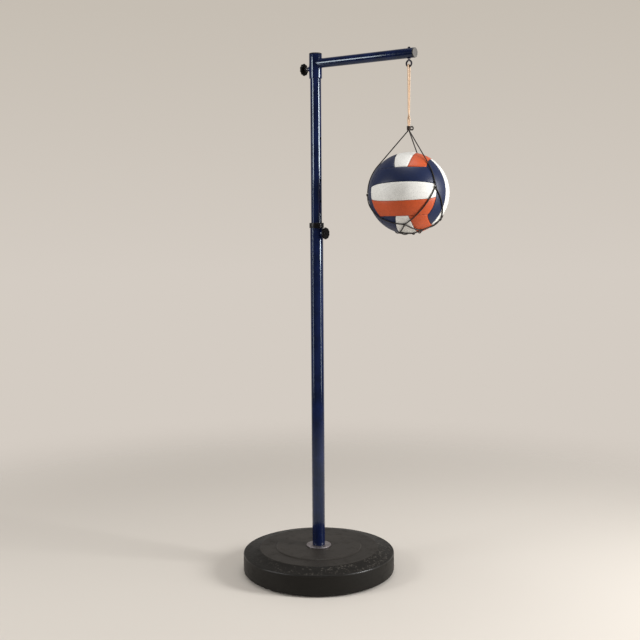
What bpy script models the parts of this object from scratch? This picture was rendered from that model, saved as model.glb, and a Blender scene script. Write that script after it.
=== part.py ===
"""A volleyball tether trainer: a ball in a cord net hangs on an elastic from the arm of a telescopic mast.

Sizes are in metres. The origin is on the floor under the mast, +Z is up and +X runs along the arm.
"""
import math

import bmesh
import bpy
from mathutils import Matrix, Vector

# Clearances
SEAT_GAP = 0.0003
RUNNING_GAP = 0.0003
HOLE_GAP = 0.0005
CUTTER_MARGIN = 0.008

# Weighted base
BASE_RADIUS = 0.214
BASE_SIDE_HEIGHT = 0.061
BASE_TOP_HEIGHT = 0.0715
BASE_FOOT_ROUND = 0.008
BASE_SHOULDER_ROUND = 0.005
BASE_RIM_LIFT = 0.0045
BAND_INNER_RADIUS = 0.168
BAND_STEP = 0.001
DISC_RADIUS = 0.119
DISC_RISE = 0.003
PAD_RADIUS = 0.180
PAD_THICKNESS = 0.006
CORE_RADIUS = 0.130
CORE_THICKNESS = 0.018
BOLT_RADIUS = 0.005
BOLT_HEAD_FLATS = 0.016
BOLT_HEAD_HEIGHT = 0.0064
BOLT_REACH_IN_PLUG = 0.020
BOLT_WASHER_RADIUS = 0.010
BOLT_WASHER_THICKNESS = 0.002
BOLT_POCKET_RADIUS = 0.0115
FLANGE_RADIUS = 0.035
FLANGE_THICKNESS = 0.003
FLANGE_CHAMFER = 0.001
PLUG_LENGTH = 0.025

# Telescopic mast
LOWER_TUBE_RADIUS = 0.018
LOWER_TUBE_WALL = 0.0015
LOWER_TUBE_LENGTH = 0.8976
UPPER_TUBE_RADIUS = 0.015
UPPER_TUBE_WALL = 0.0015
UPPER_TUBE_LENGTH = 0.837
UPPER_TUBE_SHOWING = 0.3915
COLLAR_RADIUS = 0.020
COLLAR_HEIGHT = 0.014
COLLAR_SKIRT = 0.024
COLLAR_EDGE_ROUND = 0.0015
HEIGHT_HOLE_RADIUS = 0.0035
HEIGHT_HOLE_PITCH = 0.057
HEIGHT_HOLE_COUNT = 10
TOP_HOLE_BELOW_SLEEVE = 0.1615
GUIDE_FLANGE = 0.012
GUIDE_SPIGOT = 0.015
GUIDE_BORE_RADIUS = 0.010

# Clamp screws, the same below the collar and on the arm's sleeve
SCREW_RADIUS = 0.005
SCREW_BELOW_COLLAR = 0.015
SCREW_ABOVE_SLEEVE_FOOT = 0.0265
BOSS_RADIUS = 0.0075
BOSS_LENGTH = 0.003
TIP_RADIUS = 0.0045
TIP_LENGTH = 0.003
LOWER_KNOB_STANDOFF = 0.0006
UPPER_KNOB_STANDOFF = 0.0098
KNOB_RADIUS = 0.0165
KNOB_THICKNESS = 0.008
KNOB_FLUTES = 10
KNOB_FLUTE_DEPTH = 0.0012
KNOB_EDGE_ROUND = 0.003
KNOB_HUB_RADIUS = 0.0085
KNOB_HUB_LENGTH = 0.0041
KNOB_SOCKET_DEPTH = 0.0085

# Arm
SLEEVE_RADIUS = 0.0175
SLEEVE_LENGTH = 0.0645
SLEEVE_CAP_THICKNESS = 0.0027
SLEEVE_CAP_PLUG = 0.0095
SLEEVE_CAP_EDGE_ROUND = 0.0012
ARM_BELOW_SLEEVE_TOP = 0.025
ARM_RADIUS = 0.0127
ARM_WALL = 0.0015
ARM_REACH = 0.310
END_CAP_THICKNESS = 0.0027
END_CAP_PLUG = 0.009
END_CAP_EDGE_ROUND = 0.001

# Eye bolt
EYE_FROM_ARM_END = 0.0185
EYE_DROP = 0.023
EYE_WIRE_RADIUS = 0.0022
EYE_LOOP_RADIUS = 0.0075
EYE_NECK_SHARE = 0.12
EYE_WASHER_RADIUS = 0.0045
EYE_WASHER_THICKNESS = 0.001
EYE_SHANK_RADIUS = 0.0016
EYE_NUT_FLATS = 0.006
EYE_NUT_HEIGHT = 0.0024
EYE_THREAD_SHOWING = 0.0008

# Elastic tether and its clamp
ELASTIC_RADIUS = 0.0018
ELASTIC_OVER_WIRE_GAP = 0.0005
ELASTIC_LENGTH = 0.1508
ELASTIC_SPREAD_AT_CLAMP = 0.0022
ELASTIC_DRAWN_IN_AT = 0.74
ELASTIC_TWIST_START = 0.72
CLAMP_RADIUS = 0.0055
CLAMP_HEIGHT = 0.011
CLAMP_EDGE_ROUND = 0.0012
CLAMP_RECESS_RADIUS = 0.0046
CLAMP_RECESS_DEPTH = 0.001
SIDE_LOOP_RADIUS = 0.0042
SIDE_LOOP_CORD_RADIUS = 0.0017
SIDE_LOOP_AZIMUTH = 28.7

# Ball
BALL_RADIUS = 0.105
BALL_BELOW_CLAMP = 0.1604
BALL_TURN = 17.1
BALL_TILT = 1.6
BALL_LEAN = 1.6
PANEL_THICKNESS = 0.0016
SEAM_WIDTH = 0.0006
FACE_HALF_ANGLE = 36.0
MIDDLE_STRIP_AT_CENTRE = 0.32
MIDDLE_STRIP_AT_END = 0.19
BLADDER_WALL = 0.001
BLADDER_UNDER_PANELS = 0.0018
VALVE_RADIUS = 0.0029
VALVE_FLANGE_RADIUS = 0.007
VALVE_FLANGE_THICKNESS = 0.0015
VALVE_FLANGE_DEPTH = 0.0070
VALVE_RECESS = 0.0004

# Net
NET_CORD_RADIUS = 0.0015
NET_CORD_SAG = 0.0002
NET_CORD_STEP = 0.0145
NET_CORD_SPREAD_AT_CLAMP = 0.0026
NET_BEND_BELOW_CLAMP = 0.0015
NET_STRAIGHT_SHARES = (0.04, 0.3, 0.6, 0.9)
KNOT_RADIUS = 0.0038
KNOT_HEIGHT = 0.0030

# Facets
TUBE_SIDES = 24
BASE_SIDES = 40
SMALL_SIDES = 16
FILLET_STEPS = 3
KNOB_ROUND_STEPS = 2
EYE_STEPS = 14
BIGHT_STEPS = 10
BIGHT_END_STEPS = 4
BIGHT_END_ANGLE = 86
ELASTIC_STEPS = 18
SIDE_LOOP_STEPS = 12
SMOOTH_ANGLE = 35
PANEL_LENGTH_STEPS = 8
PANEL_WIDTH_STEPS = 3
BLADDER_SIDES = 18
CORD_RESOLUTION = 2
NET_RUN_RESOLUTION = 1

# Heights up the base and the mast
CORE_FOOT = PAD_THICKNESS + SEAT_GAP
CORE_TOP = CORE_FOOT + CORE_THICKNESS
HEAD_FOOT = CORE_FOOT + HOLE_GAP
HEAD_TOP = HEAD_FOOT + BOLT_HEAD_HEIGHT
BOLT_WASHER_FOOT = HEAD_TOP + SEAT_GAP
BOLT_POCKET_TOP = BOLT_WASHER_FOOT + BOLT_WASHER_THICKNESS + SEAT_GAP
DISC_TOP = BASE_TOP_HEIGHT + DISC_RISE
FLANGE_FOOT = DISC_TOP + SEAT_GAP
LOWER_TUBE_FOOT = FLANGE_FOOT + FLANGE_THICKNESS + SEAT_GAP
LOWER_TUBE_TOP = LOWER_TUBE_FOOT + LOWER_TUBE_LENGTH
COLLAR_SEAT = LOWER_TUBE_TOP + SEAT_GAP
COLLAR_TOP = COLLAR_SEAT + COLLAR_HEIGHT
LOWER_SCREW_HEIGHT = COLLAR_SEAT - SCREW_BELOW_COLLAR
SLEEVE_FOOT = COLLAR_TOP + UPPER_TUBE_SHOWING
SLEEVE_TOP = SLEEVE_FOOT + SLEEVE_LENGTH
UPPER_SCREW_HEIGHT = SLEEVE_FOOT + SCREW_ABOVE_SLEEVE_FOOT
SLEEVE_CAP_SEAT = SLEEVE_TOP + SEAT_GAP
UPPER_TUBE_TOP = SLEEVE_CAP_SEAT - SLEEVE_CAP_PLUG - SEAT_GAP
UPPER_TUBE_FOOT = UPPER_TUBE_TOP - UPPER_TUBE_LENGTH
ARM_HEIGHT = SLEEVE_TOP - ARM_BELOW_SLEEVE_TOP

# Heights down the tether
EYE_X = ARM_REACH - EYE_FROM_ARM_END
EYE_WASHER_TOP = ARM_HEIGHT - ARM_RADIUS - SEAT_GAP
EYE_APEX = EYE_WASHER_TOP - EYE_WASHER_THICKNESS - SEAT_GAP - EYE_WIRE_RADIUS
EYE_PIVOT_HEIGHT = ARM_HEIGHT - ARM_RADIUS - EYE_DROP + EYE_WIRE_RADIUS
BIGHT_RADIUS = EYE_WIRE_RADIUS + ELASTIC_OVER_WIRE_GAP + ELASTIC_RADIUS
STRAND_TOP = EYE_PIVOT_HEIGHT - ELASTIC_RADIUS - SEAT_GAP
CLAMP_TOP = EYE_PIVOT_HEIGHT - ELASTIC_LENGTH
CLAMP_FOOT = CLAMP_TOP - CLAMP_HEIGHT
BALL_HEIGHT = CLAMP_FOOT - BALL_BELOW_CLAMP

# Bores that take their size from what goes in them
LOWER_TUBE_BORE = LOWER_TUBE_RADIUS - LOWER_TUBE_WALL
UPPER_TUBE_BORE = UPPER_TUBE_RADIUS - UPPER_TUBE_WALL
SLIDING_BORE = UPPER_TUBE_RADIUS + RUNNING_GAP
SCREW_HOLE = SCREW_RADIUS + HOLE_GAP
BOLT_HOLE = BOLT_RADIUS + HOLE_GAP
EYE_HOLE = EYE_SHANK_RADIUS + HOLE_GAP

# The net's knots: compass angle about the ball, and angle down from its top, in degrees
TOP_KNOTS = {"left": (204.4, 91.8), "front": (-21.5, 83.1), "back": (93.7, 84.0)}
CROSSINGS = {"front": (-68.6, 138.4), "right": (18.0, 129.5), "rear": (150.0, 133.0)}
LOWER_KNOTS = {
    "near": (-97.1, 160.2),
    "tie": (-33.0, 165.5),
    "right": (-18.3, 152.9),
    "far": (105.0, 145.0),
}
NET_RUNS = [
    (TOP_KNOTS["left"], CROSSINGS["front"]),
    (TOP_KNOTS["left"], CROSSINGS["rear"]),
    (TOP_KNOTS["front"], CROSSINGS["front"]),
    (TOP_KNOTS["front"], CROSSINGS["right"]),
    (TOP_KNOTS["back"], CROSSINGS["right"]),
    (TOP_KNOTS["back"], CROSSINGS["rear"]),
    (CROSSINGS["front"], LOWER_KNOTS["near"]),
    (CROSSINGS["front"], LOWER_KNOTS["right"]),
    (CROSSINGS["right"], LOWER_KNOTS["right"]),
    (CROSSINGS["right"], LOWER_KNOTS["far"]),
    (CROSSINGS["rear"], LOWER_KNOTS["near"]),
    (CROSSINGS["rear"], LOWER_KNOTS["far"]),
    (LOWER_KNOTS["near"], LOWER_KNOTS["tie"]),
    (LOWER_KNOTS["tie"], LOWER_KNOTS["right"]),
    (LOWER_KNOTS["right"], LOWER_KNOTS["far"]),
    (LOWER_KNOTS["far"], LOWER_KNOTS["near"]),
]

ALONG_X = Matrix.Rotation(math.pi / 2, 4, "Y")
AGAINST_X = Matrix.Rotation(-math.pi / 2, 4, "Y")
BALL_CENTRE = Vector((EYE_X, 0, BALL_HEIGHT))
BALL_PLACE = (
    Matrix.Translation(BALL_CENTRE)
    @ Matrix.Rotation(math.radians(BALL_TURN), 4, "Z")
    @ Matrix.Rotation(-math.radians(BALL_TILT), 4, "X")
    @ Matrix.Rotation(-math.radians(BALL_LEAN), 4, "Y")
)


def clear_scene():
    for item in list(bpy.data.objects):
        bpy.data.objects.remove(item, do_unlink=True)


def finish(name, colour, roughness, metallic=0.0):
    """A Principled material from a colour as seen on screen, 0 to 255."""
    made = bpy.data.materials.new(name)
    made.use_nodes = True
    shader = made.node_tree.nodes["Principled BSDF"]
    linear = [(value / 255) ** 2.2 for value in colour]
    shader.inputs["Base Color"].default_value = (*linear, 1)
    shader.inputs["Roughness"].default_value = roughness
    shader.inputs["Metallic"].default_value = metallic
    return made


def joint_axis(name, place, parent=None):
    """An empty on a joint's axis, which carries the pieces that the joint moves."""
    axis = bpy.data.objects.new(name, None)
    axis.location = Vector(place) - (parent["place"] if parent else Vector())
    axis.empty_display_size = 0.03
    bpy.context.scene.collection.objects.link(axis)
    if parent:
        axis.parent = parent["empty"]
    bpy.context.view_layer.update()
    return {"empty": axis, "place": Vector(place)}


def add_piece(name, data, material, axis=None):
    piece = bpy.data.objects.new(name, data)
    bpy.context.scene.collection.objects.link(piece)
    data.materials.append(material)
    if axis:
        piece.parent = axis["empty"]
        piece.matrix_parent_inverse = axis["empty"].matrix_world.inverted()
    return piece


def add_cutter(name, mesh):
    """A shape that cuts or joins other pieces and isn't a piece itself."""
    cutter = bpy.data.objects.new(name, mesh)
    bpy.context.scene.collection.objects.link(cutter)
    cutter.hide_render = True
    cutter.display_type = "WIRE"
    return cutter


def combine(piece, other, operation, self_join=False):
    change = piece.modifiers.new(other.name, "BOOLEAN")
    change.operation = operation
    change.object = other
    change.solver = "EXACT"
    change.use_self = self_join


def mesh_from(name, shape, place=None):
    """Closes a bmesh, moves it to its place and shades it."""
    bmesh.ops.remove_doubles(shape, verts=shape.verts, dist=1e-7)
    if place:
        bmesh.ops.transform(shape, matrix=place, verts=shape.verts)
    bmesh.ops.recalc_face_normals(shape, faces=shape.faces)
    mesh = bpy.data.meshes.new(name)
    shape.to_mesh(mesh)
    shape.free()
    mesh.shade_smooth()
    mesh.set_sharp_from_angle(angle=math.radians(SMOOTH_ANGLE))
    return mesh


def rounded(corners):
    """The outline through the corners, each (radius, height) or (radius, height, fillet)."""
    points = []
    for index, corner in enumerate(corners):
        here = Vector(corner[:2])
        if len(corner) == 2:
            points.append(here)
            continue
        fillet = corner[2]
        back = (Vector(corners[index - 1][:2]) - here).normalized()
        ahead = (Vector(corners[(index + 1) % len(corners)][:2]) - here).normalized()
        half = back.angle(ahead) / 2
        centre = here + (back + ahead).normalized() * fillet / math.sin(half)
        start = here + back * fillet / math.tan(half) - centre
        end = here + ahead * fillet / math.tan(half) - centre
        sweep = math.atan2(start.x * end.y - start.y * end.x, start.dot(end))
        for step in range(FILLET_STEPS + 1):
            turn = Matrix.Rotation(sweep * step / FILLET_STEPS, 2)
            points.append(centre + turn @ start)
    return points


def turned(name, corners, sides, ring=True, place=None):
    """A turned shape: a ring from a closed outline, or a solid from one that starts and ends on the axis."""
    shape = bmesh.new()
    outline = [shape.verts.new((point.x, 0, point.y)) for point in rounded(corners)]
    pairs = list(zip(outline, outline[1:]))
    if ring:
        pairs.append((outline[-1], outline[0]))
    edges = [shape.edges.new(pair) for pair in pairs]
    bmesh.ops.spin(
        shape,
        geom=outline + edges,
        cent=(0, 0, 0),
        axis=(0, 0, 1),
        angle=2 * math.pi,
        steps=sides,
        use_merge=True,
    )
    return mesh_from(name, shape, place)


def pipe(name, radius, bore, low, high, sides=TUBE_SIDES, place=None):
    corners = [(bore, low), (radius, low), (radius, high), (bore, high)]
    return turned(name, corners, sides, place=place)


def rod(name, radius, low, high, sides=SMALL_SIDES, place=None):
    corners = [(0, low), (radius, low), (radius, high), (0, high)]
    return turned(name, corners, sides, ring=False, place=place)


def hexagon(name, flats, low, high, place=None):
    return rod(name, flats / math.sqrt(3), low, high, sides=6, place=place)


def cord_curve(name, points, radius, radii=None, closed=False, resolution=CORD_RESOLUTION):
    """A round cord through the points, as a curve with filled ends."""
    curve = bpy.data.curves.new(name, "CURVE")
    curve.dimensions = "3D"
    curve.bevel_depth = radius
    curve.bevel_resolution = resolution
    curve.use_fill_caps = not closed
    spline = curve.splines.new("POLY")
    spline.points.add(len(points) - 1)
    for index, point in enumerate(points):
        spline.points[index].co = (*point, 1)
        spline.points[index].radius = radii[index] if radii else 1
    spline.use_cyclic_u = closed
    return curve


def cord_mesh(name, points, radius, closed=False, resolution=CORD_RESOLUTION):
    """The same cord as a closed mesh, for pieces that are joined to others."""
    curve = cord_curve(name, points, radius, closed=closed, resolution=resolution)
    guide = bpy.data.objects.new(name, curve)
    bpy.context.scene.collection.objects.link(guide)
    bpy.context.view_layer.update()
    mesh = bpy.data.meshes.new_from_object(guide)
    bpy.data.objects.remove(guide, do_unlink=True)
    shape = bmesh.new()
    shape.from_mesh(mesh)
    bmesh.ops.remove_doubles(shape, verts=shape.verts, dist=1e-6)
    bmesh.ops.recalc_face_normals(shape, faces=shape.faces)
    shape.to_mesh(mesh)
    shape.free()
    return mesh


def on_ball(compass, down, reach):
    """A point at this compass angle and angle from the top, at reach from the ball's centre."""
    compass = math.radians(compass)
    down = math.radians(down)
    around = Vector((math.cos(compass), math.sin(compass), 0))
    return BALL_CENTRE + reach * (around * math.sin(down) + Vector((0, 0, math.cos(down))))


def build_base(steel, rubber, iron, plated):
    cover = [
        (PAD_RADIUS + SEAT_GAP, BASE_RIM_LIFT),
        (BASE_RADIUS, BASE_RIM_LIFT, BASE_FOOT_ROUND),
        (BASE_RADIUS, BASE_SIDE_HEIGHT, BASE_SHOULDER_ROUND),
        (BAND_INNER_RADIUS, BASE_TOP_HEIGHT - BAND_STEP),
        (BAND_INNER_RADIUS - BAND_STEP, BASE_TOP_HEIGHT),
        (DISC_RADIUS + DISC_RISE, BASE_TOP_HEIGHT),
        (DISC_RADIUS, DISC_TOP),
        (BOLT_HOLE, DISC_TOP),
        (BOLT_HOLE, CORE_TOP + SEAT_GAP),
        (CORE_RADIUS + SEAT_GAP, CORE_TOP + SEAT_GAP),
        (CORE_RADIUS + SEAT_GAP, CORE_FOOT),
        (PAD_RADIUS + SEAT_GAP, CORE_FOOT),
    ]
    add_piece("base_cover", turned("base_cover", cover, BASE_SIDES), rubber)
    core = [
        (BOLT_POCKET_RADIUS, CORE_FOOT),
        (CORE_RADIUS, CORE_FOOT),
        (CORE_RADIUS, CORE_TOP),
        (BOLT_HOLE, CORE_TOP),
        (BOLT_HOLE, BOLT_POCKET_TOP),
        (BOLT_POCKET_RADIUS, BOLT_POCKET_TOP),
    ]
    add_piece("base_core", turned("base_core", core, BASE_SIDES), iron)
    pad = rod("base_pad", PAD_RADIUS, 0, PAD_THICKNESS, sides=BASE_SIDES)
    add_piece("base_pad", pad, rubber)
    flange = [
        (BOLT_HOLE, FLANGE_FOOT),
        (FLANGE_RADIUS, FLANGE_FOOT),
        (FLANGE_RADIUS, FLANGE_FOOT + FLANGE_THICKNESS - FLANGE_CHAMFER),
        (FLANGE_RADIUS - FLANGE_CHAMFER, FLANGE_FOOT + FLANGE_THICKNESS),
        (BOLT_HOLE, FLANGE_FOOT + FLANGE_THICKNESS),
    ]
    add_piece("foot_flange", turned("foot_flange", flange, TUBE_SIDES), plated)
    washer_top = BOLT_WASHER_FOOT + BOLT_WASHER_THICKNESS
    washer = pipe("base_bolt_washer", BOLT_WASHER_RADIUS, BOLT_HOLE, BOLT_WASHER_FOOT, washer_top)
    add_piece("base_bolt_washer", washer, plated)
    plug_radius = LOWER_TUBE_BORE - SEAT_GAP
    plug_top = LOWER_TUBE_FOOT + PLUG_LENGTH
    plug = pipe("foot_plug", plug_radius, BOLT_HOLE, LOWER_TUBE_FOOT, plug_top)
    add_piece("foot_plug", plug, plated)
    head = hexagon("base_bolt", BOLT_HEAD_FLATS, HEAD_FOOT, HEAD_TOP)
    bolt = add_piece("base_bolt", head, steel)
    shank_top = LOWER_TUBE_FOOT + BOLT_REACH_IN_PLUG
    shank = rod("bolt_shank", BOLT_RADIUS, HEAD_FOOT + BOLT_HEAD_HEIGHT / 2, shank_top)
    combine(bolt, add_cutter("bolt_shank", shank), "UNION")


def build_lower_mast(paint, plastic):
    tube = pipe(
        "lower_tube", LOWER_TUBE_RADIUS, LOWER_TUBE_BORE, LOWER_TUBE_FOOT, LOWER_TUBE_TOP
    )
    lower_tube = add_piece("lower_tube", tube, paint)
    skirt_radius = LOWER_TUBE_BORE - SEAT_GAP
    collar = [
        (SLIDING_BORE, COLLAR_SEAT - COLLAR_SKIRT),
        (skirt_radius, COLLAR_SEAT - COLLAR_SKIRT),
        (skirt_radius, COLLAR_SEAT),
        (COLLAR_RADIUS, COLLAR_SEAT),
        (COLLAR_RADIUS, COLLAR_TOP, COLLAR_EDGE_ROUND),
        (SLIDING_BORE, COLLAR_TOP),
    ]
    mast_collar = add_piece("mast_collar", turned("mast_collar", collar, TUBE_SIDES), plastic)
    cutter = screw_hole("lower_screw_hole", LOWER_TUBE_RADIUS, LOWER_SCREW_HEIGHT, ALONG_X)
    combine(lower_tube, cutter, "DIFFERENCE")
    combine(mast_collar, cutter, "DIFFERENCE")
    add_boss("lower_boss", LOWER_TUBE_RADIUS, LOWER_SCREW_HEIGHT, ALONG_X, paint)


def screw_hole(name, tube_radius, height, direction):
    """Cuts the hole for a clamp screw through one side of a tube."""
    place = Matrix.Translation((0, 0, height)) @ direction
    start = UPPER_TUBE_RADIUS - CUTTER_MARGIN
    return add_cutter(name, rod(name, SCREW_HOLE, start, tube_radius + CUTTER_MARGIN, place=place))


def add_boss(name, tube_radius, height, direction, material, axis=None):
    """A threaded boss welded to a tube, with its foot shaped to the tube."""
    low = tube_radius - CUTTER_MARGIN
    boss = pipe(name, BOSS_RADIUS, SCREW_HOLE, low, tube_radius + BOSS_LENGTH, sides=SMALL_SIDES)
    boss.transform(Matrix.Translation((0, 0, height)) @ direction)
    piece = add_piece(name, boss, material, axis)
    reach = BOSS_RADIUS + CUTTER_MARGIN
    saddle = rod(
        name + "_saddle", tube_radius + SEAT_GAP, height - reach, height + reach, sides=TUBE_SIDES
    )
    combine(piece, add_cutter(name + "_saddle", saddle), "DIFFERENCE")


def build_upper_mast(paint, plastic, axis):
    tube = pipe(
        "upper_tube", UPPER_TUBE_RADIUS, UPPER_TUBE_BORE, UPPER_TUBE_FOOT, UPPER_TUBE_TOP
    )
    upper_tube = add_piece("upper_tube", tube, paint, axis)
    holes = bmesh.new()
    for number in range(HEIGHT_HOLE_COUNT):
        height = SLEEVE_FOOT - TOP_HOLE_BELOW_SLEEVE - number * HEIGHT_HOLE_PITCH
        place = Matrix.Translation((UPPER_TUBE_RADIUS, 0, height)) @ ALONG_X
        bmesh.ops.create_cone(
            holes,
            cap_ends=True,
            segments=SMALL_SIDES // 2,
            radius1=HEIGHT_HOLE_RADIUS,
            radius2=HEIGHT_HOLE_RADIUS,
            depth=2 * CUTTER_MARGIN,
            matrix=place,
        )
    combine(upper_tube, add_cutter("height_holes", mesh_from("height_holes", holes)), "DIFFERENCE")
    guide_seat = UPPER_TUBE_FOOT - SEAT_GAP
    guide = [
        (GUIDE_BORE_RADIUS, guide_seat - GUIDE_FLANGE),
        (LOWER_TUBE_BORE - RUNNING_GAP, guide_seat - GUIDE_FLANGE),
        (LOWER_TUBE_BORE - RUNNING_GAP, guide_seat),
        (UPPER_TUBE_BORE - SEAT_GAP, guide_seat),
        (UPPER_TUBE_BORE - SEAT_GAP, guide_seat + GUIDE_SPIGOT),
        (GUIDE_BORE_RADIUS, guide_seat + GUIDE_SPIGOT),
    ]
    add_piece("tube_guide", turned("tube_guide", guide, TUBE_SIDES), plastic, axis)


def build_clamp_screw(name, hub_start, height, direction, materials, tip_axis, knob_axis):
    """A hand screw: a soft tip that presses on the upper tube, a stud and a fluted knob."""
    steel, plastic, brass = materials
    place = Matrix.Translation((0, 0, height)) @ direction
    tip_start = UPPER_TUBE_RADIUS + SEAT_GAP
    tip = rod(name + "_screw_tip", TIP_RADIUS, tip_start, tip_start + TIP_LENGTH, place=place)
    add_piece(name + "_screw_tip", tip, brass, tip_axis)
    disc_start = hub_start + KNOB_HUB_LENGTH
    socket_end = hub_start + KNOB_SOCKET_DEPTH
    stud_start = tip_start + TIP_LENGTH + SEAT_GAP
    stud = rod(name + "_stud", SCREW_RADIUS, stud_start, socket_end - SEAT_GAP, place=place)
    add_piece(name + "_stud", stud, steel, knob_axis)
    knob = add_piece(name + "_knob", fluted_disc(name, disc_start, place), plastic, knob_axis)
    hub = rod(name + "_hub", KNOB_HUB_RADIUS, hub_start, disc_start + KNOB_THICKNESS / 2, place=place)
    combine(knob, add_cutter(name + "_hub", hub), "UNION")
    mouth = hub_start - CUTTER_MARGIN
    socket = rod(name + "_socket", SCREW_RADIUS + SEAT_GAP, mouth, socket_end, place=place)
    combine(knob, add_cutter(name + "_socket", socket), "DIFFERENCE")


def fluted_disc(name, start, place):
    """A round knob head with finger flutes and rounded edges."""
    shape = bmesh.new()
    count = KNOB_FLUTES * 4
    rim = []
    for index in range(count):
        angle = 2 * math.pi * index / count
        dip = KNOB_FLUTE_DEPTH * (1 - math.cos(KNOB_FLUTES * angle)) / 2
        reach = KNOB_RADIUS - dip
        rim.append(shape.verts.new((reach * math.cos(angle), reach * math.sin(angle), start)))
    face = shape.faces.new(rim)
    grown = bmesh.ops.extrude_face_region(shape, geom=[face])
    top = [item for item in grown["geom"] if isinstance(item, bmesh.types.BMVert)]
    bmesh.ops.translate(shape, verts=top, vec=(0, 0, KNOB_THICKNESS))
    edges = [edge for edge in shape.edges if abs(edge.verts[0].co.z - edge.verts[1].co.z) < 1e-6]
    bmesh.ops.bevel(
        shape,
        geom=edges,
        offset=KNOB_EDGE_ROUND,
        offset_type="OFFSET",
        affect="EDGES",
        segments=KNOB_ROUND_STEPS,
        profile=0.5,
        material=-1,
    )
    return mesh_from(name + "_knob", shape, place)


def build_arm(paint, plastic, grey, plated, axis):
    sleeve = add_piece(
        "arm_sleeve",
        pipe("arm_sleeve", SLEEVE_RADIUS, SLIDING_BORE, SLEEVE_FOOT, SLEEVE_TOP),
        paint,
        axis,
    )
    hole = screw_hole("upper_screw_hole", SLEEVE_RADIUS, UPPER_SCREW_HEIGHT, AGAINST_X)
    combine(sleeve, hole, "DIFFERENCE")
    cap_plug = SLIDING_BORE - SEAT_GAP
    cap = [
        (0, SLEEVE_CAP_SEAT - SLEEVE_CAP_PLUG),
        (cap_plug, SLEEVE_CAP_SEAT - SLEEVE_CAP_PLUG),
        (cap_plug, SLEEVE_CAP_SEAT),
        (SLEEVE_RADIUS, SLEEVE_CAP_SEAT),
        (SLEEVE_RADIUS, SLEEVE_CAP_SEAT + SLEEVE_CAP_THICKNESS, SLEEVE_CAP_EDGE_ROUND),
        (0, SLEEVE_CAP_SEAT + SLEEVE_CAP_THICKNESS),
    ]
    add_piece("sleeve_cap", turned("sleeve_cap", cap, TUBE_SIDES, ring=False), plastic, axis)
    add_boss("upper_boss", SLEEVE_RADIUS, UPPER_SCREW_HEIGHT, AGAINST_X, paint, axis)
    place = Matrix.Translation((0, 0, ARM_HEIGHT)) @ ALONG_X
    cap_seat = ARM_REACH - END_CAP_THICKNESS
    bore = ARM_RADIUS - ARM_WALL
    root = SLEEVE_RADIUS - CUTTER_MARGIN
    tube = pipe("arm_tube", ARM_RADIUS, bore, root, cap_seat - SEAT_GAP, place=place)
    arm = add_piece("arm_tube", tube, paint, axis)
    low = ARM_HEIGHT - ARM_RADIUS - CUTTER_MARGIN
    high = ARM_HEIGHT + ARM_RADIUS + CUTTER_MARGIN
    saddle = rod("arm_saddle", SLEEVE_RADIUS + SEAT_GAP, low, high, sides=TUBE_SIDES)
    combine(arm, add_cutter("arm_saddle", saddle), "DIFFERENCE")
    eye_hole = rod("eye_hole", EYE_HOLE, low, high, place=Matrix.Translation((EYE_X, 0, 0)))
    combine(arm, add_cutter("eye_hole", eye_hole), "DIFFERENCE")
    end_cap = [
        (0, cap_seat - END_CAP_PLUG),
        (bore - SEAT_GAP, cap_seat - END_CAP_PLUG),
        (bore - SEAT_GAP, cap_seat),
        (ARM_RADIUS, cap_seat),
        (ARM_RADIUS, ARM_REACH, END_CAP_EDGE_ROUND),
        (0, ARM_REACH),
    ]
    cap_mesh = turned("arm_end_cap", end_cap, TUBE_SIDES, ring=False, place=place)
    add_piece("arm_end_cap", cap_mesh, grey, axis)
    build_eye_bolt(plated, axis)


def build_eye_bolt(plated, axis):
    """A pear-shaped eye whose threaded shank goes up through the arm to a nut."""
    centre = EYE_PIVOT_HEIGHT + EYE_LOOP_RADIUS
    shoulder = math.acos(EYE_LOOP_RADIUS / (EYE_APEX - centre))
    points = []
    for step in range(EYE_STEPS + 1):
        angle = shoulder + (2 * math.pi - 2 * shoulder) * step / EYE_STEPS
        across = EYE_LOOP_RADIUS * math.sin(angle)
        points.append(Vector((EYE_X + across, 0, centre + EYE_LOOP_RADIUS * math.cos(angle))))
    apex = Vector((EYE_X, 0, EYE_APEX))
    points.append(apex.lerp(points[-1], EYE_NECK_SHARE))
    points.append(apex.lerp(points[0], EYE_NECK_SHARE))
    eye = add_piece("eye_bolt", cord_mesh("eye_bolt", points, EYE_WIRE_RADIUS, closed=True), plated, axis)
    nut_foot = ARM_HEIGHT + ARM_RADIUS + SEAT_GAP
    nut_top = nut_foot + EYE_NUT_HEIGHT
    shank_place = Matrix.Translation((EYE_X, 0, 0))
    shank = rod(
        "eye_shank", EYE_SHANK_RADIUS, EYE_APEX, nut_top + EYE_THREAD_SHOWING, place=shank_place
    )
    combine(eye, add_cutter("eye_shank", shank), "UNION")
    nut = add_piece(
        "eye_nut", hexagon("eye_nut", EYE_NUT_FLATS, nut_foot, nut_top, place=shank_place), plated, axis
    )
    bore = rod("eye_nut_bore", EYE_SHANK_RADIUS + SEAT_GAP, ARM_HEIGHT, nut_top + EYE_NUT_HEIGHT)
    bore.transform(shank_place)
    combine(nut, add_cutter("eye_nut_bore", bore), "DIFFERENCE")
    washer = pipe(
        "eye_washer",
        EYE_WASHER_RADIUS,
        EYE_HOLE,
        EYE_WASHER_TOP - EYE_WASHER_THICKNESS,
        EYE_WASHER_TOP,
        sides=SMALL_SIDES,
        place=shank_place,
    )
    add_piece("eye_washer", washer, plated, axis)


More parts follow.
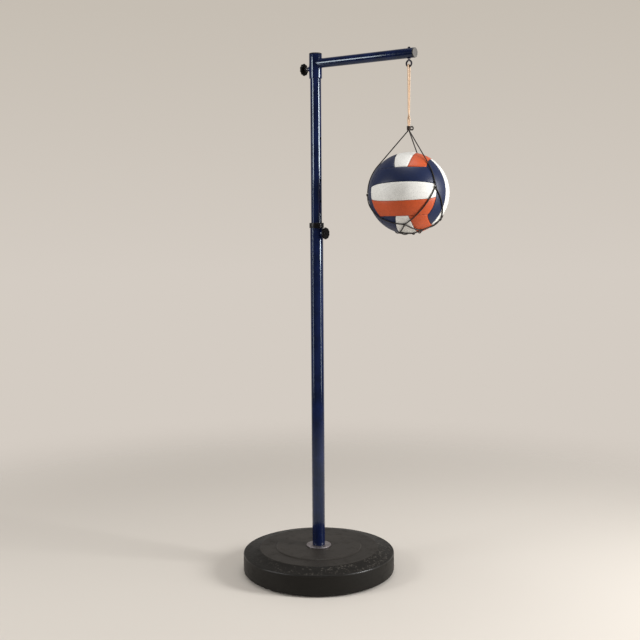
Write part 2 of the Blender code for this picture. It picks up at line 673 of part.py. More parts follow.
def build_tether(elastic, loop_axis, tether_axis):
    """The elastic: a bight over the eye's wire, and two strands that twist past each other."""
    points = []
    radii = []
    for step in range(BIGHT_END_STEPS):
        lift = math.radians(BIGHT_END_ANGLE) * (1 - step / BIGHT_END_STEPS)
        points.append(Vector((EYE_X, BIGHT_RADIUS, EYE_PIVOT_HEIGHT - ELASTIC_RADIUS * math.sin(lift))))
        radii.append(math.cos(lift))
    for step in range(BIGHT_STEPS + 1):
        angle = math.pi * step / BIGHT_STEPS
        across = BIGHT_RADIUS * math.cos(angle)
        points.append(Vector((EYE_X, across, EYE_PIVOT_HEIGHT + BIGHT_RADIUS * math.sin(angle))))
        radii.append(1)
    for index in reversed(range(BIGHT_END_STEPS)):
        mirrored = Vector((EYE_X, -points[index].y, points[index].z))
        points.append(mirrored)
        radii.append(radii[index])
    bight = cord_curve("tether_bight", points, ELASTIC_RADIUS, radii=radii)
    add_piece("tether_bight", bight, elastic, loop_axis)
    strand_foot = CLAMP_TOP - CLAMP_RECESS_DEPTH + SEAT_GAP
    for name, side in (("tether_strand_a", 0), ("tether_strand_b", math.pi)):
        strand = cord_curve(name, strand_points(STRAND_TOP, strand_foot, side), ELASTIC_RADIUS)
        add_piece(name, strand, elastic, tether_axis)


def strand_points(top, foot, side):
    """One strand's route: straight down, drawing in, then half a turn about the other strand."""
    points = []
    for step in range(ELASTIC_STEPS + 1):
        share = step / ELASTIC_STEPS
        twist = min(1, max(0, (share - ELASTIC_TWIST_START) / (1 - ELASTIC_TWIST_START)))
        angle = math.pi / 2 + side + math.pi * twist * twist * (3 - 2 * twist)
        drawn_in = min(1, share / ELASTIC_DRAWN_IN_AT)
        reach = BIGHT_RADIUS + (ELASTIC_SPREAD_AT_CLAMP - BIGHT_RADIUS) * drawn_in
        height = top + (foot - top) * share
        points.append(Vector((EYE_X + reach * math.cos(angle), reach * math.sin(angle), height)))
    return points


def build_clamp(plastic, cord, axis):
    """The barrel that holds the elastic above and the net's cords below, with a cord loop at its side."""
    barrel = [
        (0, CLAMP_FOOT + CLAMP_RECESS_DEPTH),
        (CLAMP_RECESS_RADIUS, CLAMP_FOOT + CLAMP_RECESS_DEPTH),
        (CLAMP_RECESS_RADIUS, CLAMP_FOOT),
        (CLAMP_RADIUS, CLAMP_FOOT, CLAMP_EDGE_ROUND / 2),
        (CLAMP_RADIUS, CLAMP_TOP, CLAMP_EDGE_ROUND / 2),
        (CLAMP_RECESS_RADIUS, CLAMP_TOP),
        (CLAMP_RECESS_RADIUS, CLAMP_TOP - CLAMP_RECESS_DEPTH),
        (0, CLAMP_TOP - CLAMP_RECESS_DEPTH),
    ]
    place = Matrix.Translation((EYE_X, 0, 0))
    mesh = turned("cord_clamp", barrel, SMALL_SIDES, ring=False, place=place)
    add_piece("cord_clamp", mesh, plastic, axis)
    reach = SIDE_LOOP_RADIUS + SIDE_LOOP_CORD_RADIUS
    centre_out = CLAMP_RADIUS + SEAT_GAP + reach / 2
    opening = math.acos((CLAMP_RADIUS + SEAT_GAP - centre_out) / reach)
    turn = Matrix.Rotation(math.radians(SIDE_LOOP_AZIMUTH), 3, "Z")
    middle = (CLAMP_TOP + CLAMP_FOOT) / 2
    points = []
    for step in range(SIDE_LOOP_STEPS + 1):
        angle = opening * (2 * step / SIDE_LOOP_STEPS - 1)
        out = centre_out + SIDE_LOOP_RADIUS * math.cos(angle)
        spot = turn @ Vector((out, 0, SIDE_LOOP_RADIUS * math.sin(angle)))
        points.append(spot + Vector((EYE_X, 0, middle)))
    add_piece("clamp_side_loop", cord_curve("clamp_side_loop", points, SIDE_LOOP_CORD_RADIUS), cord, axis)


def panel_mesh(name, normal, along, across, low, high):
    """One strip of a cover face: low and high say which edges of the face it reaches."""
    shape = bmesh.new()
    bmesh.ops.create_grid(
        shape, x_segments=PANEL_LENGTH_STEPS, y_segments=PANEL_WIDTH_STEPS, size=1
    )
    mid_reach = math.tan(math.radians(FACE_HALF_ANGLE))
    half_seam = SEAM_WIDTH / 2 / BALL_RADIUS
    trim_across = half_seam / mid_reach
    trim_along = 2 * half_seam
    for vert in shape.verts:
        s = vert.co.x * (1 - trim_along)
        share = (vert.co.y + 1) / 2
        strip_edge = MIDDLE_STRIP_AT_CENTRE + (MIDDLE_STRIP_AT_END - MIDDLE_STRIP_AT_CENTRE) * s * s
        start = low * strip_edge if abs(low) < 2 else math.copysign(1, low)
        end = high * strip_edge if abs(high) < 2 else math.copysign(1, high)
        start += trim_across
        end -= trim_across
        t = start + (end - start) * share
        end_reach = 1 / (mid_reach + (1 - mid_reach) * t * t)
        long_reach = mid_reach + (1 - mid_reach) * s * s
        x = s * end_reach
        z = t * (long_reach + s * s * (end_reach - 1))
        vert.co = (normal + x * along + z * across).normalized() * BALL_RADIUS
    if normal.dot(along.cross(across)) < 0:
        bmesh.ops.reverse_faces(shape, faces=shape.faces)
    bmesh.ops.transform(shape, matrix=BALL_PLACE, verts=shape.verts)
    mesh = bpy.data.meshes.new(name)
    shape.to_mesh(mesh)
    shape.free()
    mesh.shade_smooth()
    return mesh


def build_ball(navy, white, orange, rubber, axis):
    x_way, y_way, z_way = Vector((1, 0, 0)), Vector((0, 1, 0)), Vector((0, 0, 1))
    faces = {
        "front": (-y_way, x_way, -z_way),
        "back": (y_way, x_way, -z_way),
        "top": (z_way, y_way, x_way),
        "bottom": (-z_way, y_way, x_way),
        "right": (x_way, z_way, y_way),
        "left": (-x_way, z_way, y_way),
    }
    strips = {"navy": (-2, -1, navy), "white": (-1, 1, white), "orange": (1, 2, orange)}
    valve_place = BALL_PLACE @ Matrix.Rotation(-math.pi / 2, 4, "X")
    low = BALL_RADIUS - CUTTER_MARGIN
    high = BALL_RADIUS + CUTTER_MARGIN
    valve_hole = rod("valve_hole", VALVE_RADIUS + HOLE_GAP, low, high, place=valve_place)
    valve_cutter = add_cutter("valve_hole", valve_hole)
    for face, (normal, along, across) in faces.items():
        for strip, (low, high, material) in strips.items():
            name = f"panel_{face}_{strip}"
            panel = add_piece(
                name, panel_mesh(name, normal, along, across, low, high), material, axis
            )
            wall = panel.modifiers.new("wall", "SOLIDIFY")
            wall.thickness = PANEL_THICKNESS
            wall.offset = -1
            wall.use_even_offset = True
            if (face, strip) == ("back", "white"):
                combine(panel, valve_cutter, "DIFFERENCE")
    outer = BALL_RADIUS - PANEL_THICKNESS - BLADDER_UNDER_PANELS
    inner = outer - BLADDER_WALL
    hole = VALVE_RADIUS + HOLE_GAP
    steps = BLADDER_SIDES // 2
    outline = []
    for reach, order in ((outer, range(steps + 1)), (inner, reversed(range(steps + 1)))):
        first = math.asin(hole / reach)
        for step in order:
            down = first + (math.pi - first) * step / steps
            outline.append((reach * math.sin(down), reach * math.cos(down)))
    bladder = turned_shell("ball_bladder", outline, BLADDER_SIDES, valve_place)
    add_piece("ball_bladder", bladder, rubber, axis)
    flange_foot = BALL_RADIUS - VALVE_FLANGE_DEPTH
    valve = [
        (0, flange_foot),
        (VALVE_FLANGE_RADIUS, flange_foot),
        (VALVE_FLANGE_RADIUS, flange_foot + VALVE_FLANGE_THICKNESS),
        (VALVE_RADIUS, flange_foot + VALVE_FLANGE_THICKNESS),
        (VALVE_RADIUS, BALL_RADIUS - VALVE_RECESS, VALVE_RADIUS / 4),
        (0, BALL_RADIUS - VALVE_RECESS),
    ]
    mesh = turned("ball_valve", valve, SMALL_SIDES, ring=False, place=valve_place)
    add_piece("ball_valve", mesh, rubber, axis)


def turned_shell(name, outline, sides, place):
    """A thin turned shell whose outline is closed at its mouth and meets the axis at the far side."""
    shape = bmesh.new()
    verts = [shape.verts.new((radius, 0, height)) for radius, height in outline]
    half = len(verts) // 2
    pairs = list(zip(verts[:half], verts[1:half])) + list(zip(verts[half:], verts[half + 1:]))
    pairs.append((verts[-1], verts[0]))
    edges = [shape.edges.new(pair) for pair in pairs]
    bmesh.ops.spin(
        shape,
        geom=verts + edges,
        cent=(0, 0, 0),
        axis=(0, 0, 1),
        angle=2 * math.pi,
        steps=sides,
        use_merge=True,
    )
    return mesh_from(name, shape, place)


def arc_points(start, end, reach, trim_start=0.0, trim_end=0.0):
    """Points of the shortest way over the ball between two knots, less what the knots take."""
    first = (on_ball(*start, 1) - BALL_CENTRE).normalized()
    last = (on_ball(*end, 1) - BALL_CENTRE).normalized()
    span = first.angle(last)
    steps = max(2, math.ceil(span * reach / NET_CORD_STEP))
    low = trim_start / reach / span
    high = 1 - trim_end / reach / span
    points = []
    for step in range(steps + 1):
        share = low + (high - low) * step / steps
        weight_last = math.sin(share * span) / math.sin(span)
        weight_first = math.sin((1 - share) * span) / math.sin(span)
        points.append(BALL_CENTRE + reach * (weight_first * first + weight_last * last))
    return points


def strand_to_knot(compass, down, reach):
    """A cord from the clamp's foot, straight to where it meets the ball, then down to its knot."""
    around = Vector((math.cos(math.radians(compass)), math.sin(math.radians(compass)), 0))
    axis_top = Vector((EYE_X, 0, 0))
    start = axis_top + around * NET_CORD_SPREAD_AT_CLAMP
    start.z = CLAMP_FOOT + CLAMP_RECESS_DEPTH - SEAT_GAP
    bend = start.copy()
    bend.z = CLAMP_FOOT - NET_BEND_BELOW_CLAMP
    from_centre = bend - BALL_CENTRE
    lean = from_centre.angle(Vector((0, 0, 1)))
    meet = math.degrees(lean + math.acos(reach / from_centre.length))
    touch = on_ball(compass, meet, reach)
    points = [start, bend]
    for share in NET_STRAIGHT_SHARES:
        points.append(bend.lerp(touch, share))
    knot_trim = KNOT_RADIUS + SEAT_GAP
    points += arc_points((compass, meet), (compass, down), reach, trim_end=knot_trim)
    return points


def build_net(cord, axis):
    reach = BALL_RADIUS + SEAT_GAP + NET_CORD_RADIUS + NET_CORD_SAG
    for name, (compass, down) in TOP_KNOTS.items():
        points = strand_to_knot(compass, down, reach)
        piece_name = f"net_strand_{name}"
        add_piece(piece_name, cord_curve(piece_name, points, NET_CORD_RADIUS), cord, axis)
    shape = bmesh.new()
    for start, end in NET_RUNS:
        points = arc_points(start, end, reach)
        mesh = cord_mesh("net_run", points, NET_CORD_RADIUS, resolution=NET_RUN_RESOLUTION)
        shape.from_mesh(mesh)
        bpy.data.meshes.remove(mesh)
    knots = [*TOP_KNOTS.values(), *CROSSINGS.values(), *LOWER_KNOTS.values()]
    for compass, down in knots[1:]:
        add_knot(shape, compass, down)
    mesh = bpy.data.meshes.new("ball_net")
    shape.to_mesh(mesh)
    shape.free()
    mesh.shade_smooth()
    net = add_piece("ball_net", mesh, cord, axis)
    first = bmesh.new()
    add_knot(first, *knots[0])
    knot_mesh = bpy.data.meshes.new("first_knot")
    first.to_mesh(knot_mesh)
    first.free()
    combine(net, add_cutter("first_knot", knot_mesh), "UNION", self_join=True)


def add_knot(shape, compass, down):
    """A flattened ball of cord against the cover."""
    centre = on_ball(compass, down, BALL_RADIUS + SEAT_GAP + KNOT_HEIGHT)
    out = (centre - BALL_CENTRE).normalized()
    turn = out.to_track_quat("Z", "Y").to_matrix().to_4x4()
    flatten = Matrix.Diagonal((1, 1, KNOT_HEIGHT / KNOT_RADIUS, 1))
    bmesh.ops.create_uvsphere(
        shape,
        u_segments=8,
        v_segments=6,
        radius=KNOT_RADIUS,
        matrix=Matrix.Translation(centre) @ turn @ flatten,
    )


def build_trainer():
    clear_scene()
    paint = finish("navy_powder_coat", (22, 30, 68), 0.22, 0.1)
    rubber = finish("base_rubber", (52, 49, 45), 0.75)
    iron = finish("cast_iron", (60, 58, 56), 0.6, 0.9)
    steel = finish("dark_steel", (70, 68, 66), 0.4, 1.0)
    plated = finish("grey_plated_steel", (135, 130, 128), 0.4, 0.9)
    black = finish("black_plastic", (24, 23, 24), 0.4)
    grey = finish("grey_plastic", (150, 148, 145), 0.5)
    brass = finish("brass_tip", (190, 160, 90), 0.35, 1.0)
    elastic = finish("tan_elastic", (228, 186, 146), 0.5)
    brown = finish("brown_plastic", (66, 48, 38), 0.45)
    cord = finish("black_cord", (40, 34, 30), 0.85)
    navy = finish("ball_navy", (42, 52, 94), 0.45)
    white = finish("ball_white", (232, 231, 226), 0.45)
    orange = finish("ball_orange", (206, 92, 52), 0.45)
    black_rubber = finish("bladder_rubber", (30, 30, 30), 0.7)

    build_base(steel, rubber, iron, plated)
    build_lower_mast(paint, black)

    mast_axis = joint_axis("axis_mast_height", (0, 0, COLLAR_TOP))
    build_upper_mast(paint, black, mast_axis)
    arm_axis = joint_axis("axis_arm_swivel", (0, 0, SLEEVE_FOOT), mast_axis)
    build_arm(paint, black, grey, plated, arm_axis)

    screw_finishes = (steel, black, brass)
    lower_hub = LOWER_TUBE_RADIUS + BOSS_LENGTH + LOWER_KNOB_STANDOFF
    lower_tip_axis = joint_axis("axis_lower_tip", (0, 0, LOWER_SCREW_HEIGHT))
    lower_knob_axis = joint_axis("axis_lower_knob", (0, 0, LOWER_SCREW_HEIGHT), lower_tip_axis)
    build_clamp_screw(
        "lower", lower_hub, LOWER_SCREW_HEIGHT, ALONG_X, screw_finishes, lower_tip_axis, lower_knob_axis
    )
    upper_hub = SLEEVE_RADIUS + BOSS_LENGTH + UPPER_KNOB_STANDOFF
    upper_tip_axis = joint_axis("axis_upper_tip", (0, 0, UPPER_SCREW_HEIGHT), arm_axis)
    upper_knob_axis = joint_axis("axis_upper_knob", (0, 0, UPPER_SCREW_HEIGHT), upper_tip_axis)
    build_clamp_screw(
        "upper", upper_hub, UPPER_SCREW_HEIGHT, AGAINST_X, screw_finishes, upper_tip_axis, upper_knob_axis
    )

    pivot = (EYE_X, 0, EYE_PIVOT_HEIGHT)
    loop_axis = joint_axis("axis_tether_swing", pivot, arm_axis)
    tether_axis = joint_axis("axis_tether_sway", pivot, loop_axis)
    build_tether(elastic, loop_axis, tether_axis)
    clamp_axis = joint_axis("axis_tether_stretch", (EYE_X, 0, CLAMP_TOP), tether_axis)
    build_clamp(brown, cord, clamp_axis)
    ball_axis = joint_axis("axis_ball_twist", (EYE_X, 0, CLAMP_FOOT), clamp_axis)
    build_ball(navy, white, orange, black_rubber, ball_axis)
    build_net(cord, ball_axis)


build_trainer()
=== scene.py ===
"""The looks of a volleyball tether trainer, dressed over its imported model.

Sizes are in metres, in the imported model's frame: +Z runs up the mast and +X along the arm.
"""

import math

import bmesh
import bpy
from mathutils import Matrix, Vector


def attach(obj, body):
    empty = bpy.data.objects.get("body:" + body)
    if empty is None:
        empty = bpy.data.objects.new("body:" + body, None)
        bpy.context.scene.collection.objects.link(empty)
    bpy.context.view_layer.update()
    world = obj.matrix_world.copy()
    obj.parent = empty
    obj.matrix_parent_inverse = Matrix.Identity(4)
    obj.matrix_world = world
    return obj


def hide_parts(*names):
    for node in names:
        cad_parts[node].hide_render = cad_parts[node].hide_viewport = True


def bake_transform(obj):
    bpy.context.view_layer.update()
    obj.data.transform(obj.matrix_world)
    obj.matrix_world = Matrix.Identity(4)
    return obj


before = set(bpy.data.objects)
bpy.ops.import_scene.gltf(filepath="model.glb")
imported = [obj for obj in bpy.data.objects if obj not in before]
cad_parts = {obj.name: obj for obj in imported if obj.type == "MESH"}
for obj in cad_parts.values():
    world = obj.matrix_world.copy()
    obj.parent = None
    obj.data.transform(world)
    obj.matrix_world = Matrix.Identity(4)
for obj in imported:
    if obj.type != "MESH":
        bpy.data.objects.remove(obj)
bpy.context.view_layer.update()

# Camera, as the photograph was taken, for a picture 640 pixels wide
PICTURE_PIXELS = 640
FOCAL_PIXELS = 1005.6
SENSOR_WIDTH = 36
CAMERA_PLACE = (1.5951, -2.2919, 0.9954)
CAMERA_AZIMUTH = 34.68
CAMERA_DIP = 5.63
CAMERA_ROLL = -0.38

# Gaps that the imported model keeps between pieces
SEAT_GAP = 0.0003
RUNNING_GAP = 0.0003
HOLE_GAP = 0.0005
CUTTER_MARGIN = 0.008

# Weighted base
BASE_RADIUS = 0.214
BASE_SIDE_HEIGHT = 0.061
BASE_TOP_HEIGHT = 0.0715
BASE_FOOT_ROUND = 0.008
BASE_SHOULDER_ROUND = 0.005
BASE_RIM_LIFT = 0.0045
BAND_INNER_RADIUS = 0.168
BAND_OUTER_RADIUS = 0.2095
BAND_STEP = 0.001
DISC_RADIUS = 0.119
DISC_RISE = 0.003
PAD_RADIUS = 0.180
PAD_THICKNESS = 0.006
CORE_RADIUS = 0.130
CORE_THICKNESS = 0.018
BASE_BOLT_HOLE = 0.0055
FLANGE_RADIUS = 0.035
FLANGE_THICKNESS = 0.003
FLANGE_CHAMFER = 0.001

# Telescopic mast
LOWER_TUBE_RADIUS = 0.018
UPPER_TUBE_RADIUS = 0.015
TUBE_WALL = 0.0015
TUBE_LIP = 0.0004
LOWER_TUBE_LENGTH = 0.8976
UPPER_TUBE_LENGTH = 0.837
UPPER_TUBE_SHOWING = 0.3915
COLLAR_RADIUS = 0.020
COLLAR_HEIGHT = 0.014
COLLAR_SKIRT = 0.024
HEIGHT_HOLE_RADIUS = 0.0035
HEIGHT_HOLE_PITCH = 0.057
HEIGHT_HOLE_COUNT = 10
TOP_HOLE_BELOW_SLEEVE = 0.1615

# Clamp screws
SCREW_RADIUS = 0.005
SCREW_BELOW_COLLAR = 0.015
SCREW_ABOVE_SLEEVE_FOOT = 0.0265
THREAD_PITCH = 0.0015
THREAD_DEPTH = 0.0006
THREAD_CREST = (0.4, 0.6)
BOSS_RADIUS = 0.0075
BOSS_LENGTH = 0.003
TIP_LENGTH = 0.003
LOWER_KNOB_STANDOFF = 0.0006
UPPER_KNOB_STANDOFF = 0.0098
KNOB_RADIUS = 0.0165
KNOB_THICKNESS = 0.008
KNOB_FLUTES = 10
KNOB_FLUTE_DEPTH = 0.0012
KNOB_EDGE_ROUND = 0.0032
KNOB_DISH_RIM = 0.0058
KNOB_DISH_DEPTH = 0.0007
KNOB_HUB_RADIUS = 0.0085
KNOB_HUB_LENGTH = 0.0041
KNOB_SOCKET_DEPTH = 0.0085
WELD_RADIUS = 0.0009

# Arm and its sleeve
SLEEVE_RADIUS = 0.0175
SLEEVE_LENGTH = 0.0645
SLEEVE_CAP_THICKNESS = 0.0027
SLEEVE_CAP_ROUND = SLEEVE_CAP_THICKNESS / 1.3
SLEEVE_CAP_PLUG = 0.0095
ARM_BELOW_SLEEVE_TOP = 0.025
ARM_RADIUS = 0.0127
ARM_REACH = 0.310
END_CAP_THICKNESS = 0.0027
END_CAP_ROUND = END_CAP_THICKNESS / 2.5
END_CAP_PLUG = 0.009

# Eye bolt
EYE_FROM_ARM_END = 0.0185
EYE_DROP = 0.023
EYE_WIRE_RADIUS = 0.0022
EYE_LOOP_RADIUS = 0.0075
EYE_NECK_SHARE = 0.12
EYE_WASHER_RADIUS = 0.0045
EYE_WASHER_THICKNESS = 0.001
EYE_SHANK_RADIUS = 0.0016
EYE_NUT_FLATS = 0.006
EYE_NUT_HEIGHT = 0.0024
EYE_THREAD_SHOWING = 0.0008
EYE_THREAD_PITCH = 0.0006

# Elastic tether and its clamp
ELASTIC_RADIUS = 0.0018
ELASTIC_OVER_WIRE_GAP = 0.0005
ELASTIC_LENGTH = 0.1508
ELASTIC_SPREAD_AT_CLAMP = 0.0022
ELASTIC_DRAWN_IN_AT = 0.74
ELASTIC_TWIST_START = 0.72
CLAMP_RADIUS = 0.0055
CLAMP_FOOT_RADIUS = 0.0049
CLAMP_HEIGHT = 0.011
CLAMP_EDGE_ROUND = 0.0009
CLAMP_MOUTH_RADIUS = 0.0043
CLAMP_MOUTH_DEPTH = 0.001
SIDE_LOOP_RADIUS = 0.0042
SIDE_LOOP_CORD_RADIUS = 0.0017
SIDE_LOOP_AZIMUTH = 28.7
SIDE_LOOP_INTO_CLAMP = 0.0022
SIDE_LOOP_SLIMNESS = 0.72
SIDE_LOOP_MOST_CLOSED = 0.9

# Ball
BALL_RADIUS = 0.105
BALL_BELOW_CLAMP = 0.1604
BALL_TURN = 17.1
BALL_TILT = 1.6
BALL_LEAN = 1.6
PANEL_THICKNESS = 0.0015
SEAM_WIDTH = 0.0006
SEAM_DEPTH = 0.0010
LIP_DEPTH = 0.00035
LIP_WIDTH = 0.0006
SHOULDER_WIDTH = 0.0016
PANEL_HALF_LENGTH = 0.092
PANEL_HALF_WIDTH = 0.022
FACE_HALF_ANGLE = 36.0
MIDDLE_STRIP_AT_CENTRE = 0.32
MIDDLE_STRIP_AT_END = 0.19
OUTER = 2
VALVE_RADIUS = 0.0029
VALVE_FLANGE_RADIUS = 0.007
VALVE_FLANGE_THICKNESS = 0.0015
VALVE_FLANGE_DEPTH = 0.0070
VALVE_RECESS = 0.0004
NEEDLE_HOLE_RADIUS = 0.0008
NEEDLE_HOLE_DEPTH = 0.002

# Net
NET_CORD_RADIUS = 0.0015
NET_CORD_SAG = 0.0002
NET_CORD_STEP = 0.004
NET_CORD_SPREAD_AT_CLAMP = 0.0026
NET_BEND_BELOW_CLAMP = 0.0015
KNOT_RADIUS = 0.0038
KNOT_HEIGHT = 0.0030
KNOT_CORD_RADIUS = 0.0015
KNOT_LOOP = 0.0008
KNOT_RISE = 0.0010

# The net's knots, by compass angle and angle from the ball's top, and where cords run from each
KNOTS = {
    "left": (204.4, 91.8),
    "front": (-21.5, 83.1),
    "back": (93.7, 84.0),
    "front_crossing": (-68.6, 138.4),
    "right_crossing": (18.0, 129.5),
    "rear_crossing": (150.0, 133.0),
    "low_near": (-97.1, 160.2),
    "low_tie": (-33.0, 165.5),
    "low_right": (-18.3, 152.9),
    "low_far": (105.0, 145.0),
}
TOP_KNOTS = ("left", "front", "back")
NET_RUNS = {
    "left": ("front_crossing", "rear_crossing"),
    "front": ("front_crossing", "right_crossing"),
    "back": ("right_crossing", "rear_crossing"),
    "front_crossing": ("low_near", "low_right"),
    "right_crossing": ("low_right", "low_far"),
    "rear_crossing": ("low_near", "low_far"),
    "low_near": ("low_tie",),
    "low_tie": ("low_right",),
    "low_right": ("low_far",),
    "low_far": ("low_near",),
}

# How finely pieces are cut
BASE_SIDES = 160
TUBE_SIDES = 96
SMALL_SIDES = 40
FILLET_STEPS = 6
PANEL_LENGTH_CELLS = 28
PANEL_WIDTH_CELLS = 12
PANEL_EDGE_CELLS = 2
CORD_ROUNDNESS = 4
KNOT_ROUNDNESS = 3
WELD_ROUNDNESS = 2
EYE_ROUNDNESS = 6
ELASTIC_STEPS = 60
BIGHT_STEPS = 24
KNOT_STEPS = 42
SIDE_LOOP_STEPS = 30
WELD_STEPS = 96
EYE_STEPS = 48
KNOB_STEPS_PER_FLUTE = 12
KNOB_EDGE_STEPS = 6
NUT_EDGE_STEPS = 3
SMOOTH_ANGLE = 35

# Points of a shape or cord that are nearer than this are one
SHAPE_MERGE = 1e-7
CORD_MERGE = 1e-6

# An edge that rises less than this is level, and a face whose normal lies farther along X faces out
LEVEL_WITHIN = 1e-6
FACING_OUT = 0.8

# Rubber grain on the base's sloped band: cells to the metre, and depth
GRAIN_SCALE = 135
GRAIN_DEPTH = 0.0009

# Braids: the length of one diamond along the cord, and the diamonds round it
NET_BRAID = (0.0016, 4)
ELASTIC_BRAID = (0.0011, 8)

# The elastic's round ends: how far round the dome its rings lie, and how full they are
DOME_LIFTS = (88, 60, 30)
DOME_FULLNESS = 0.985

# A weld's ripples: how many round it, and their share of its thickness
WELD_RIPPLES = 24
WELD_RIPPLE_SHARE = 0.12

# Screen colours, 0 to 255
NAVY_COAT = (19, 29, 66)
NAVY_COAT_DEEP = (14, 22, 49)
BASE_TONE = (25, 23, 20)
# Dust on the base's top, with painted light: the upward faces are paler than the side
BASE_DUST_AND_TOP_LIGHT_TONE = (50, 46, 42)
# The grain's paler tops: wear, with painted glints
GRAIN_WEAR_AND_PAINTED_GLINT_TONE = (70, 66, 61)
# Painted shade: near black at the base's foot, for the shadow in the gap under its rim
BASE_FOOT_PAINTED_SHADE_TONE = (6, 5, 5)
BALL_TONES = {"navy": (24, 36, 70), "white": (232, 231, 226), "orange": (197, 83, 40)}
BACKDROP_TONE = (212, 204, 195)
BACKDROP_TOP_TONE = (198, 190, 179)
FLOOR_TONE = (212, 206, 198)
ROOM_TONE = (255, 250, 244)

# Metals: name, tone, darker tone, roughness
METALS = [
    ("cast_iron", (62, 60, 58), (62, 60, 58), 0.6),
    ("plated_steel", (172, 165, 167), (140, 133, 136), 0.46),
    ("blackened_steel", (78, 76, 84), (40, 39, 46), 0.34),
    ("stud_steel", (150, 148, 150), (92, 90, 90), 0.3),
    ("brass_tip", (192, 160, 92), (192, 160, 92), 0.35),
]

# Plastics: name, tone, darker tone, roughness, shine
PLASTICS = [
    ("black_plastic", (20, 19, 20), (16, 15, 16), 0.3, 0.3),
    ("knob_plastic", (11, 9, 8), (11, 9, 8), 0.42, 0.15),
    ("end_cap_plastic", (98, 95, 92), (90, 87, 84), 0.5, 0.5),
    # Painted shade: a darker copy of the end cap's plastic for its rim, beside the lit end face
    ("end_cap_painted_shade_rim_plastic", (70, 68, 60), (70, 68, 60), 0.5, 0.5),
    ("clamp_plastic", (50, 37, 29), (36, 26, 21), 0.42, 0.3),
    ("bladder_rubber", (30, 30, 30), (22, 22, 22), 0.6, 0.5),
]

# Cords: name, tone, darker tone painted as shade in the braid's gaps, roughness, depth of the braid, sheen
CORDS = [
    ("tan_elastic", (212, 183, 153), (203, 165, 128), 0.5, 0.00005, 0.1),
    ("black_net_cord", (40, 32, 27), (18, 14, 12), 0.6, 0.00015, 0.03),
]

# The powder coat's tint where it shines, and how dark the ball's handled spots and painted crease shade are
COAT_TINT = (0.74, 0.9, 1.0, 1.0)
HANDLING_AND_CREASE_SHADE_SHARE = 0.86

# The base rubber's shine, flat and on worn edges, how far it is worn above the shoulder, and how
# far up from its foot painted shade darkens it, for the shadow under its lifted rim
RUBBER_SHINE = 0.21
WORN_RUBBER_SHINE = 0.42
WORN_ABOVE_SHOULDER = 0.001
PAINTED_FOOT_SHADE_HEIGHT = 0.006

# The floor, and the distances from the mast between which it fades into the backdrop
FLOOR_RADIUS = 3.4
FLOOR_FADE = (0.7, 2.4)

# Where lamps look: this far along X, and this much below their own height
LAMP_AIM_X = 0.1
LAMP_AIM_DROP = 0.1

# How strongly the room lights the pieces, and how bright it and the backdrop look in glossy ones
ROOM_LIGHT = 0.4
ROOM_IN_REFLECTIONS = 0.06
BACKDROP_IN_REFLECTIONS = 0.45

# The way's share towards the back over which the backdrop takes over in reflections, and the rise
# over which it darkens for the camera
BACKDROP_START = (0.1, 0.7)
BACKDROP_RISE = (-0.05, 0.2)

# Heights, from the sizes above
CORE_FOOT = PAD_THICKNESS + SEAT_GAP
CORE_TOP = CORE_FOOT + CORE_THICKNESS
DISC_TOP = BASE_TOP_HEIGHT + DISC_RISE
FLANGE_FOOT = DISC_TOP + SEAT_GAP
LOWER_TUBE_FOOT = FLANGE_FOOT + FLANGE_THICKNESS + SEAT_GAP
LOWER_TUBE_TOP = LOWER_TUBE_FOOT + LOWER_TUBE_LENGTH
COLLAR_SEAT = LOWER_TUBE_TOP + SEAT_GAP
COLLAR_TOP = COLLAR_SEAT + COLLAR_HEIGHT
LOWER_SCREW_HEIGHT = COLLAR_SEAT - SCREW_BELOW_COLLAR
SLEEVE_FOOT = COLLAR_TOP + UPPER_TUBE_SHOWING
SLEEVE_TOP = SLEEVE_FOOT + SLEEVE_LENGTH
UPPER_SCREW_HEIGHT = SLEEVE_FOOT + SCREW_ABOVE_SLEEVE_FOOT
SLEEVE_CAP_SEAT = SLEEVE_TOP + SEAT_GAP
UPPER_TUBE_TOP = SLEEVE_CAP_SEAT - SLEEVE_CAP_PLUG - SEAT_GAP
UPPER_TUBE_FOOT = UPPER_TUBE_TOP - UPPER_TUBE_LENGTH
ARM_HEIGHT = SLEEVE_TOP - ARM_BELOW_SLEEVE_TOP
EYE_X = ARM_REACH - EYE_FROM_ARM_END
EYE_WASHER_TOP = ARM_HEIGHT - ARM_RADIUS - SEAT_GAP
EYE_APEX = EYE_WASHER_TOP - EYE_WASHER_THICKNESS - SEAT_GAP - EYE_WIRE_RADIUS
EYE_PIVOT_HEIGHT = ARM_HEIGHT - ARM_RADIUS - EYE_DROP + EYE_WIRE_RADIUS
BIGHT_RADIUS = EYE_WIRE_RADIUS + ELASTIC_OVER_WIRE_GAP + ELASTIC_RADIUS
CLAMP_TOP = EYE_PIVOT_HEIGHT - ELASTIC_LENGTH
CLAMP_FOOT = CLAMP_TOP - CLAMP_HEIGHT
BALL_HEIGHT = CLAMP_FOOT - BALL_BELOW_CLAMP
SLIDING_BORE = UPPER_TUBE_RADIUS + RUNNING_GAP
LOWER_TUBE_BORE = LOWER_TUBE_RADIUS - TUBE_WALL
SCREW_HOLE = SCREW_RADIUS + HOLE_GAP

FULL_TURN = 2 * math.pi
UP = Vector((0, 0, 1))
TETHER_LINE = Vector((EYE_X, 0, 0))
BALL_CENTRE = Vector((EYE_X, 0, BALL_HEIGHT))


def turned_by(degrees, axis):
    return Matrix.Rotation(math.radians(degrees), 4, axis)


